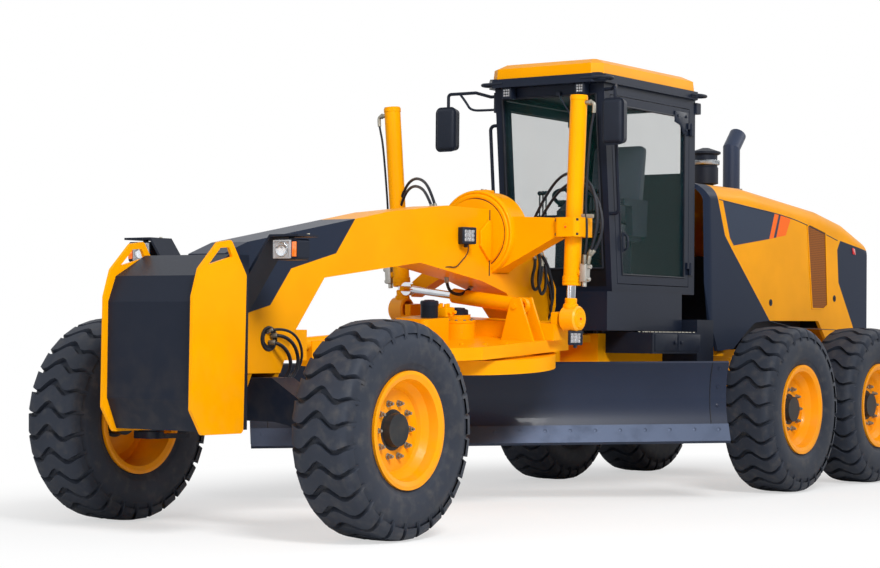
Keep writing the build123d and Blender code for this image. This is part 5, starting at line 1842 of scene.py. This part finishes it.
@dataclass
class DrawbarTrim:
    """Drive caps, valve, side shift pin and shoe bolts on the drawbar."""

    circle_back: float = 1.880
    shoe_circle: float = 0.640
    top: float = -0.060

    def drive(self) -> None:
        """Flanges, cap and ports on the circle's drive."""
        flange = BENCH.lathe(
            "drive_flange",
            ((0.0, 0.128), (0.006, 0.132), (0.018, 0.132), (0.022, 0.126), (0.022, 0.110)),
            Deck.at(self.circle_back, 0.0, 0.050), Deck.rise, 64,
        )
        cap = BENCH.lathe(
            "drive_cap",
            (
                (0.0, 0.078), (0.030, 0.078), (0.036, 0.072), (0.040, 0.056), (0.048, 0.052),
                (0.050, 0.030), (0.050, 0.0001),
            ),
            Deck.at(self.circle_back, 0.0, 0.110),
            Deck.rise,
            48,
        )
        motor = BENCH.lathe(
            "motor_cap",
            (
                (-0.030, 0.0605), (-0.030, 0.066), (-0.006, 0.066), (0.002, 0.060), (0.004, 0.040),
                (0.008, 0.036), (0.008, 0.0001),
            ),
            Deck.at(1.440, 0.060, 0.230),
            Deck.rise,
            48,
        )
        ring = [
            Deck.at(
                self.circle_back - math.cos(math.tau * step / 12) * 0.119,
                math.sin(math.tau * step / 12) * 0.119,
                0.072,
            )
            for step in range(12)
        ]
        BENCH.finish(flange, YELLOW, "drawbar")
        BENCH.finish(BENCH.join("drive_caps", [cap, motor]), SATIN, "drawbar")
        BENCH.finish(BENCH.bolts("drive_bolts", ring, Deck.rise, 0.009, 0.008), ZINC, "drawbar")
        block = BENCH.box("block", (-0.5, -0.5, -0.5), (0.5, 0.5, 0.5), 0.09)
        turn = Matrix((Deck.fore, Deck.port, Deck.rise)).transposed().to_4x4()
        block.data.transform(
            Matrix.Translation(Deck.at(1.60, 0.06, 0.145)) @ turn @ Matrix.Diagonal((0.11, 0.15, 0.07, 1))
        )
        plugs = [
            BENCH.bar(
                "plug",
                Deck.at(1.60 + dx, 0.06 + dy, 0.175),
                Deck.at(1.60 + dx, 0.06 + dy, 0.205),
                0.015,
                6,
            )
            for dx, dy in ((-0.03, -0.05), (-0.03, 0.0), (-0.03, 0.05), (0.03, -0.03), (0.03, 0.03))
        ]
        sides = [
            BENCH.bar(
                "plug", Deck.at(1.60 + dx, 0.130, 0.145), Deck.at(1.60 + dx, 0.158, 0.145), 0.013, 12,
            )
            for dx in (-0.03, 0.03)
        ]
        BENCH.finish(BENCH.join("drive_valve", [block, *plugs, *sides]), YELLOW, "drawbar")

    def pins(self) -> None:
        """Head of the side shift pin."""
        head = BENCH.lathe(
            "shift_pin_head",
            ((0.0, 0.0001), (0.012, 0.012), (0.014, 0.034), (0.010, 0.040), (0.0, 0.042)),
            Deck.at(1.960, 0.450, 0.186), Deck.fore, 40,
        )
        BENCH.finish(head, YELLOW, "drawbar")

    def shoes(self) -> None:
        """Bolt heads over the circle's guide shoes, where they land on the drawbar's deck."""
        feet = []
        for step in range(24):
            angle = math.tau * (step + 0.5) / 24
            back = self.circle_back - math.cos(angle) * self.shoe_circle
            left = math.sin(angle) * self.shoe_circle
            start = Deck.at(back, left, 0.30)
            hit, place, normal = BENCH.touch("drawbar", start, -Deck.rise)
            level = (place - Deck.at(back, left, self.top)).dot(Deck.rise)
            if hit and normal.dot(Deck.rise) > 0.98 and abs(level) < 0.004:
                feet.append(place)
        if feet:
            BENCH.finish(BENCH.bolts("shoe_bolts", feet, Deck.rise, 0.014, 0.012), YELLOW, "drawbar")

    def build(self) -> None:
        """Everything on the drawbar."""
        self.drive()
        self.pins()
        self.shoes()


@dataclass
class CabTrim:
    """Window seals, handles, wipers, roof rails, mirror glass and step treads."""

    half: float = 0.500
    window_half: float = 0.430
    window_z: tuple = (1.78, 3.12)
    door_z: tuple = (1.736, 3.044)
    door_x: tuple = (-1.164, -0.172, -0.049)
    eave_z: float = 3.232

    def front_x(self, z: float) -> float:
        """Front of the cab at a height."""
        return -0.020 + 0.150 * (z - 1.6) / 1.6

    def seal(self, name: str, corners: Sequence[Point], body: str, radius: float = 0.008) -> None:
        """Rubber seal round an opening: straight runs with small rounds at its corners.

        Args:
            name: name of the piece.
            corners: corners in turn.
            body: body that it rides on.
            radius: radius of the piece.
        """
        runs = []
        for here, there in zip(corners, list(corners[1:]) + [corners[0]]):
            runs.append(BENCH.bar("run", here, there, radius, 10, 0.0))
        BENCH.finish(BENCH.join(name, runs), HOSE, body, 60)

    def windows(self) -> None:
        """Seals of the windscreen and the doors."""
        low, high = self.window_z
        front = [
            (self.front_x(z) + 0.004, y * self.window_half, z)
            for y, z in ((-1, low), (1, low), (1, high), (-1, high))
        ]
        self.seal("windscreen_seal", front, "rear_frame")
        low, high = self.door_z
        rear_x, foot_x, head_x = self.door_x
        for name, side in (("left", 1), ("right", -1)):
            y = side * (self.half + 0.001)
            corners = [(rear_x, y, low), (foot_x, y, low), (head_x, y, high), (rear_x, y, high)]
            self.seal(f"door_seal_{name}", corners, "door_" + name, 0.007)

    def handles(self) -> None:
        """Door handles with their locks."""
        for name, side in (("left", 1), ("right", -1)):
            y = side * self.half
            base = BENCH.box(
                "base",
                (-0.205, min(y, y + side * 0.012), 1.905),
                (-0.155, max(y, y + side * 0.012), 2.065),
                0.005,
            )
            grip = BENCH.pipe(
                "grip",
                [
                    (-0.18, y + side * 0.008, 1.925), (-0.18, y + side * 0.040, 1.93),
                    (-0.18, y + side * 0.046, 1.985), (-0.18, y + side * 0.040, 2.04),
                    (-0.18, y + side * 0.008, 2.045),
                ],
                0.009,
            )
            button = BENCH.bar("button", (-0.18, y, 2.055), (-0.18, y + side * 0.018, 2.055), 0.011, 24)
            BENCH.finish(BENCH.join(f"door_handle_{name}", [base, grip, button]), TRIM, "door_" + name)
            plate = BENCH.plate(
                f"hinge_plate_{name}",
                [
                    (-1.205, y, 3.085), (-0.985, y, 3.085), (-0.985, y, 2.995), (-1.075, y, 2.975),
                    (-1.125, y, 2.905), (-1.205, y, 2.905),
                ],
                (0, side * 0.010, 0),
                0.004,
            )
            BENCH.finish(plate, DARK, "door_" + name)
            knob = BENCH.bolts(
                f"hinge_bolts_{name}",
                [
                    (-1.17, y + side * 0.010, 3.05), (-1.03, y + side * 0.010, 3.05),
                    (-1.17, y + side * 0.010, 2.94),
                ],
                (0, side, 0),
                0.010,
                0.007,
            )
            BENCH.finish(knob, TRIM, "door_" + name)

    def wipers(self) -> None:
        """Wiper on the windscreen with its arm and motor cover."""
        x = self.front_x(3.1) + 0.016
        low_x = self.front_x(2.72) + 0.022
        arm = BENCH.pipe(
            "arm",
            [(x, 0.10, 3.135), (x + 0.012, 0.12, 3.10), (low_x, 0.22, 2.93), (low_x, 0.26, 2.80)],
            0.006,
        )
        blade = BENCH.bar("blade", (low_x, 0.26, 3.02), (low_x - 0.03, 0.27, 2.60), 0.006, 12, 0.001)
        spindle = BENCH.bar("spindle", (x - 0.015, 0.10, 3.135), (x + 0.016, 0.10, 3.135), 0.018, 24)
        BENCH.finish(BENCH.join("front_wiper", [arm, blade, spindle]), TRIM, "rear_frame")

    def roof(self) -> None:
        """Bent rails round the eaves' corners, the roof's seam and its front bead."""
        for name, side in (("left", 1), ("right", -1)):
            z = self.eave_z
            front = BENCH.pipe(
                "rail",
                [
                    (0.10, side * 0.530, z), (0.10, side * 0.570, z), (0.16, side * 0.590, z),
                    (0.232, side * 0.560, z), (0.236, side * 0.48, z), (0.234, side * 0.36, z),
                ],
                0.012,
            )
            rear = BENCH.pipe(
                "rail",
                [
                    (-1.22, side * 0.530, z), (-1.22, side * 0.575, z), (-1.30, side * 0.600, z),
                    (-1.395, side * 0.580, z), (-1.400, side * 0.50, z), (-1.36, side * 0.42, z),
                ],
                0.012,
            )
            BENCH.finish(BENCH.join(f"eave_rails_{name}", [front, rear]), TRIM, "rear_frame")
        seam = BENCH.box("roof_seam", (-1.352, -0.5025, 3.2655), (0.203, 0.5025, 3.2745), 0.003)
        BENCH.finish(seam, HOSE, "rear_frame")
        gutter = BENCH.pipe(
            "roof_bead",
            [(0.2, -0.5, 3.268), (0.2, 0.5, 3.268)],
            0.004,
            2,
        )
        BENCH.finish(gutter, HOSE, "rear_frame")

    def mirrors(self) -> None:
        """Glass and shells of both mirrors, and the brace of the right one."""
        for name, middle in (("left", (0.245, 0.65, 2.885)), ("right", (0.15, -0.96, 2.905))):
            x, y, z = middle
            glass = BENCH.plate(
                f"mirror_glass_{name}",
                [
                    (x - 0.0695, y - 0.070, z - 0.145), (x - 0.0695, y + 0.070, z - 0.145),
                    (x - 0.0695, y + 0.070, z + 0.145), (x - 0.0695, y - 0.070, z + 0.145),
                ],
                (-0.004, 0, 0),
                0.002,
            )
            BENCH.finish(glass, SILVER, "rear_frame")
            front = BENCH.box(
                "front", (x - 0.040, y - 0.086, z - 0.166), (x + 0.020, y + 0.086, z + 0.166), 0.028, 5,
            )
            front.name = f"mirror_shell_{name}"
            BENCH.finish(front, TRIM, "rear_frame")
        brace = BENCH.pipe(
            "mirror_brace",
            [
                (0.105, -0.500, 3.045), (0.108, -0.600, 3.045), (0.110, -0.745, 3.050),
                (0.112, -0.790, 3.120), (0.112, -0.850, 3.188),
            ],
            0.010,
        )
        plate = BENCH.box("plate", (0.085, -0.520, 3.020), (0.118, -0.500, 3.180), 0.004)
        BENCH.finish(BENCH.join("mirror_brace", [brace, plate]), TRIM, "rear_frame")

    def steps(self) -> None:
        """Raised studs on the step boxes, and the doors of their lockers."""
        for name, side in (("left", 1), ("right", -1)):
            stud = BENCH.lathe(
                "stud",
                ((0.0, 0.012), (0.006, 0.009), (0.006, 0.005), (0.001, 0.0001)),
                (-0.95, side * 0.60, 1.2895),
                (0, 0, 1),
                10,
            )
            places = [
                Matrix.Translation((0.062 * i, side * 0.055 * j, 0)) for i in range(12) for j in range(3)
            ]
            BENCH.finish(BENCH.copies(f"step_studs_{name}", stud, places), ZINC, "rear_frame")
            y = side * 0.750
            parts = []
            for rear, fore in ((-0.98, -0.62), (-0.60, -0.25)):
                outline = [(rear, y, 1.140), (fore, y, 1.140), (fore, y, 1.275), (rear, y, 1.275)]
                parts.append(BENCH.plate("door", outline, (0, side * 0.006, 0), 0.003))
            for x in (-0.66, -0.56):
                parts.append(
                    BENCH.bar(
                        "latch", (x, y + side * 0.004, 1.21), (x, y + side * 0.018, 1.21), 0.014, 24,
                    )
                )
            BENCH.finish(BENCH.join(f"locker_doors_{name}", parts), SATIN, "rear_frame")

    def build(self) -> None:
        """Everything on the cab."""
        self.windows()
        self.handles()
        self.wipers()
        self.roof()
        self.mirrors()
        self.steps()


@dataclass
class Pads:
    """Crowned seat pads with sewn channels, in the room of the solid seat."""

    half: float = 0.232

    def pad(self, name: str, corners: Sequence[tuple], rows: int, crown: float) -> bpy.types.Object:
        """A cushion filling a side outline.

        Args:
            name: name of the pad.
            corners: four (x, z) points: front foot, back foot, back top, front top.
            rows: how many sewn channels cross it.
            crown: how far its faces stand proud in the middle.

        Returns:
            The pad.
        """
        BENCH.clear()
        bpy.ops.mesh.primitive_cube_add(size=1)
        piece = bpy.context.object
        bpy.ops.object.mode_set(mode="EDIT")
        bpy.ops.mesh.select_all(action="SELECT")
        bpy.ops.mesh.subdivide(number_cuts=11)
        bpy.ops.object.mode_set(mode="OBJECT")
        a, b, c, d = (Vector((x, 0, z)) for x, z in corners)
        for vertex in piece.data.vertices:
            u, v, w = (value * 2 for value in vertex.co)
            side = max(0.0, 1 - u**4) * max(0.0, 1 - v**4)
            along = (u + 1) / 2
            low, high = b.lerp(a, along), c.lerp(d, along)
            point = low.lerp(high, (w + 1) / 2)
            normal = (high - low).normalized()
            channel = 1.0 - 0.35 * abs(math.sin(math.pi * along * rows)) ** 12 if rows else 1.0
            lift = crown * side * channel * w
            pull = 1.0 - 0.06 * abs(w) ** 6 * (1 - side)
            vertex.co = point + normal * lift + Vector((0, v * self.half * pull, 0))
        piece = BENCH.named(name)
        BENCH.modify(piece, "SUBSURF", levels=2, render_levels=2)
        return piece

    def build(self) -> None:
        """Cushion and back."""
        cushion = self.pad(
            "seat_cushion",
            ((-0.425, 2.085), (-0.925, 2.085), (-0.930, 2.145), (-0.430, 2.160)),
            3,
            0.010,
        )
        back = self.pad(
            "seat_back", ((-0.955, 2.810), (-0.842, 2.175), (-0.935, 2.120), (-1.025, 2.795)), 4, 0.012,
        )
        for piece in (cushion, back):
            BENCH.finish(piece, SEAT, "rear_frame", 60)
        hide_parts("seat")
        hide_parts("seat")


@dataclass
class HoodTrim:
    """Crease strips, latches, lamps, grille, and the bands of exhaust and precleaner."""

    half: float = 0.560

    def sides(self) -> None:
        """Crease strips, latches, foot seams and tail lamps."""
        for name, side in (("left", 1), ("right", -1)):
            y = side * self.half
            crease = BENCH.pipe(
                f"hood_crease_{name}",
                [
                    (-1.66, y, 2.402), (-2.20, y, 2.368), (-2.785, y, 2.337), (-3.322, y, 2.277),
                    (-3.98, y, 2.155),
                ],
                0.004,
            )
            BENCH.finish(crease, DARK, "rear_frame")
            lamp = BENCH.plate(
                f"tail_lamp_{name}",
                [(-4.300, y, 2.100), (-4.355, y, 2.092), (-4.372, y, 2.035), (-4.318, y, 2.042)],
                (0, side * 0.008, 0), 0.003,
            )
            BENCH.finish(lamp, RED, "rear_frame")
            latches = []
            for x, z in ((-2.62, 1.56), (-3.92, 1.62)):
                cup = BENCH.lathe(
                    "cup",
                    ((0.0, 0.030), (0.004, 0.030), (0.005, 0.024), (0.002, 0.022), (0.002, 0.0001)),
                    (x, y - side * 0.001, z),
                    (0, side, 0),
                    32,
                )
                key = BENCH.bar("key", (x, y, z), (x, y + side * 0.006, z), 0.010, 20)
                latches += [cup, key]
            BENCH.finish(BENCH.join(f"hood_latches_{name}", latches), TRIM, "rear_frame")
            seam = BENCH.pipe(
                f"hood_seam_{name}",
                [
                    (-2.60, y + side * 0.0005, 1.40), (-3.10, y + side * 0.0005, 1.345),
                    (-4.10, y + side * 0.0005, 1.33), (-4.35, y + side * 0.0005, 1.33),
                ],
                0.003,
                2,
            )
            BENCH.finish(seam, HOSE, "rear_frame")

    def stack(self) -> None:
        """Bands of the precleaner and the exhaust."""
        low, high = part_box("air_precleaner")
        x, y = (low.x + high.x) / 2, (low.y + high.y) / 2
        r = (high.x - low.x) / 2
        band = BENCH.lathe(
            "precleaner_band",
            (
                (0.0, r - 0.030), (0.0, r - 0.012), (0.004, r - 0.009), (0.036, r - 0.006),
                (0.040, r - 0.010), (0.040, r - 0.030),
            ),
            (x, y, high.z - 0.150),
            (0, 0, 1),
            48,
        )
        BENCH.finish(band, SILVER, "rear_frame")
        clamp = BENCH.lathe(
            "exhaust_clamp",
            ((0.0, 0.068), (0.0, 0.076), (0.028, 0.076), (0.028, 0.068)),
            (-3.0, 0.0, 2.56), (0, 0, 1), 48,
        )
        BENCH.finish(clamp, ZINC, "rear_frame")

    def grille(self) -> None:
        """Louvres and lamps on the hood's rear face."""
        slat = BENCH.box("slat", (-4.652, -0.36, 1.420), (-4.630, 0.36, 1.436), 0.003)
        places = [Matrix.Translation((0, 0, 0.040 * step)) for step in range(13)]
        BENCH.finish(BENCH.copies("rear_louvres", slat, places), TRIM, "rear_frame")
        for name, side in (("left", 1), ("right", -1)):
            lamp = BENCH.box(
                f"rear_lamp_{name}",
                (-4.656, min(side * 0.40, side * 0.50), 1.56),
                (-4.632, max(side * 0.40, side * 0.50), 1.70),
                0.006,
            )
            BENCH.finish(lamp, RED, "rear_frame")

    def build(self) -> None:
        """Everything on the rear end."""
        self.sides()
        self.stack()
        self.grille()


@dataclass
class BladeTrim:
    """Bolts of the cutting edge, and the seams and bolts of the moldboard's ends."""

    origin: Point = (1.3535, 0.005, 1.2947)
    ahead: Point = (0.705788, 0.704551, -0.07397)
    along: Point = (-0.705788, 0.708317, 0.012283)
    rise: Point = (0.061049, 0.043538, 0.997185)
    tip: tuple = (-0.279, -0.896)
    lean: float = 28.0
    span: tuple = (-1.48, 2.18)
    bolt_up: float = 0.112
    bolt_count: int = 19

    def at(self, fore: float, side: float, up: float) -> Vector:
        """Machine point for a place in the blade's own frame."""
        place = Vector(self.origin) + Vector(self.ahead) * fore
        return place + Vector(self.along) * side + Vector(self.rise) * up

    def build(self) -> None:
        """Bolt row of the edge, and the seams and bolts of both ends."""
        sine, cosine = math.sin(math.radians(self.lean)), math.cos(math.radians(self.lean))
        fore, up = self.tip[0] - sine * self.bolt_up, self.tip[1] + cosine * self.bolt_up
        out = Vector(self.ahead) * cosine + Vector(self.rise) * sine
        step = (self.span[1] - self.span[0] - 0.16) / (self.bolt_count - 1)
        feet = [self.at(fore, self.span[0] + 0.08 + step * index, up) for index in range(self.bolt_count)]
        BENCH.finish(BENCH.bolts("edge_bolts", feet, out, 0.016, 0.010), EDGE, "blade")
        for name, side in (("left", self.span[1] - 0.13), ("right", self.span[0] + 0.13)):
            points = []
            bolts = []
            for index in range(12):
                start = self.at(0.6, side, -0.285 - index * 0.048)
                hit, place, normal = BENCH.touch("moldboard", start, -Vector(self.ahead))
                if hit:
                    points.append(place + normal * 0.001)
                    if index % 3 == 1:
                        shift = Vector(self.along) * (0.06 if side > 0 else -0.06)
                        bolts.append(BENCH.bolt(place + shift, normal, 0.011, 0.008))
            seam = BENCH.pipe(f"end_seam_{name}", points, 0.004, 3)
            BENCH.finish(seam, HOSE, "blade")
            BENCH.finish(BENCH.join(f"end_bolts_{name}", bolts), BLADE, "blade")


@dataclass
class Hoses:
    """Hydraulic hoses with ferrules at their ends, and rings round their holes; each is fixed at both ends,
    so none is a free cord.
    """

    runs: tuple = (
        (
            "boom_hose_right_a",
            "front_frame",
            0.011,
            (
                (1.42, -0.149, 2.175), (1.40, -0.20, 2.28), (1.30, -0.34, 2.40), (1.14, -0.56, 2.44),
                (1.02, -0.74, 2.36), (0.985, -0.86, 2.12),
            ),
        ),
        (
            "boom_hose_right_b",
            "front_frame",
            0.011,
            (
                (1.46, -0.149, 2.168), (1.44, -0.20, 2.25), (1.33, -0.34, 2.345), (1.16, -0.56, 2.38),
                (1.03, -0.74, 2.30), (0.990, -0.86, 2.04),
            ),
        ),
        (
            "boom_hose_left_a",
            "front_frame",
            0.011,
            (
                (0.62, 0.155, 2.06), (0.66, 0.26, 2.22), (0.74, 0.48, 2.44), (0.86, 0.70, 2.46),
                (0.95, 0.90, 2.36), (0.96, 0.965, 2.12), (0.985, 0.93, 1.90), (0.985, 0.895, 1.84),
            ),
        ),
        (
            "boom_hose_left_b",
            "front_frame",
            0.011,
            (
                (0.58, 0.155, 2.00), (0.62, 0.26, 2.16), (0.70, 0.48, 2.36), (0.82, 0.70, 2.40),
                (0.91, 0.90, 2.30), (0.93, 0.985, 2.10), (0.95, 0.965, 1.92), (0.975, 0.905, 1.84),
            ),
        ),
        (
            "neck_loop_a",
            "front_frame",
            0.012,
            (
                (0.56, 0.158, 1.86), (0.60, 0.20, 1.80), (0.68, 0.21, 1.68), (0.62, 0.20, 1.58),
                (0.52, 0.20, 1.66), (0.47, 0.17, 1.82),
            ),
        ),
        (
            "neck_loop_b",
            "front_frame",
            0.012,
            (
                (0.53, 0.158, 1.90), (0.56, 0.22, 1.84), (0.64, 0.24, 1.66), (0.58, 0.24, 1.54),
                (0.47, 0.22, 1.66), (0.43, 0.17, 1.85),
            ),
        ),
        (
            "neck_bundle_a",
            "front_frame",
            0.012,
            (
                (0.50, 0.158, 1.90), (0.45, 0.20, 1.82), (0.39, 0.20, 1.70), (0.33, 0.17, 1.58),
                (0.29, 0.12, 1.48),
            ),
        ),
        (
            "neck_bundle_b",
            "front_frame",
            0.012,
            (
                (0.47, 0.158, 1.84), (0.42, 0.20, 1.76), (0.37, 0.21, 1.62), (0.33, 0.18, 1.50),
                (0.30, 0.12, 1.40),
            ),
        ),
        (
            "neck_bundle_c",
            "front_frame",
            0.009,
            (
                (0.44, 0.158, 1.78), (0.40, 0.19, 1.66), (0.37, 0.20, 1.52), (0.34, 0.17, 1.40),
                (0.32, 0.10, 1.33),
            ),
        ),
        (
            "belly_hose_a",
            "front_frame",
            0.012,
            (
                (1.42, -0.05, 1.68), (1.40, -0.06, 1.60), (1.30, -0.06, 1.55), (1.18, -0.05, 1.56),
                (1.10, -0.04, 1.62),
            ),
        ),
        (
            "axle_hose_a",
            "front_frame",
            0.012,
            (
                (3.66, 0.150, 1.235), (3.64, 0.215, 1.25), (3.52, 0.235, 1.19), (3.45, 0.22, 1.06),
                (3.50, 0.18, 0.94), (3.60, 0.12, 0.90),
            ),
        ),
        (
            "axle_hose_b",
            "front_frame",
            0.012,
            (
                (3.68, 0.150, 1.195), (3.66, 0.21, 1.20), (3.57, 0.23, 1.13), (3.52, 0.21, 1.03),
                (3.56, 0.16, 0.93), (3.62, 0.10, 0.90),
            ),
        ),
        (
            "axle_hose_c",
            "front_frame",
            0.009,
            (
                (3.70, 0.150, 1.26), (3.68, 0.205, 1.29), (3.50, 0.225, 1.26), (3.40, 0.215, 1.12),
                (3.43, 0.17, 0.98), (3.60, 0.10, 0.92),
            ),
        ),
    )
    holes: tuple = ((3.68, 0.150, 1.22), (3.68, -0.150, 1.22))

    def build(self) -> None:
        """Every run with the ferrules at its ends."""
        for name, body, radius, points in self.runs:
            hose = BENCH.pipe(name, points, radius)
            ends = []
            for first, second in ((points[0], points[1]), (points[-1], points[-2])):
                way = (Vector(second) - Vector(first)).normalized()
                ends.append(
                    BENCH.bar("ferrule", Vector(first), Vector(first) + way * 0.045, radius * 1.35, 16)
                )
            BENCH.finish(hose, HOSE, body, 60)
            BENCH.finish(BENCH.join(name + "_ends", ends), ZINC, body)
        for place in self.holes:
            side = 1 if place[1] > 0 else -1
            ring = BENCH.lathe(
                f"hose_hole_{'left' if side > 0 else 'right'}",
                (
                    (-0.002, 0.0001), (0.001, 0.062), (0.006, 0.064), (0.009, 0.072), (0.006, 0.080),
                    (-0.001, 0.082),
                ),
                place,
                (0, side, 0),
                40,
            )
            BENCH.finish(ring, HOSE, "front_frame")


def main() -> None:
    """Builds the scene in order."""
    logging.basicConfig(level=logging.INFO, format="%(message)s")
    assemblies = (
        Studio(),
        Paintwork(),
        Wheels(),
        Lamps(),
        LiftTrim(),
        SaddleTrim(),
        DrawbarTrim(),
        CabTrim(),
        Pads(),
        HoodTrim(),
        BladeTrim(),
        Hoses(),
    )
    for assembly in assemblies:
        assembly.build()
        log.info("%s done", type(assembly).__name__)
    bpy.context.view_layer.update()


if __name__ == "__main__":
    main()
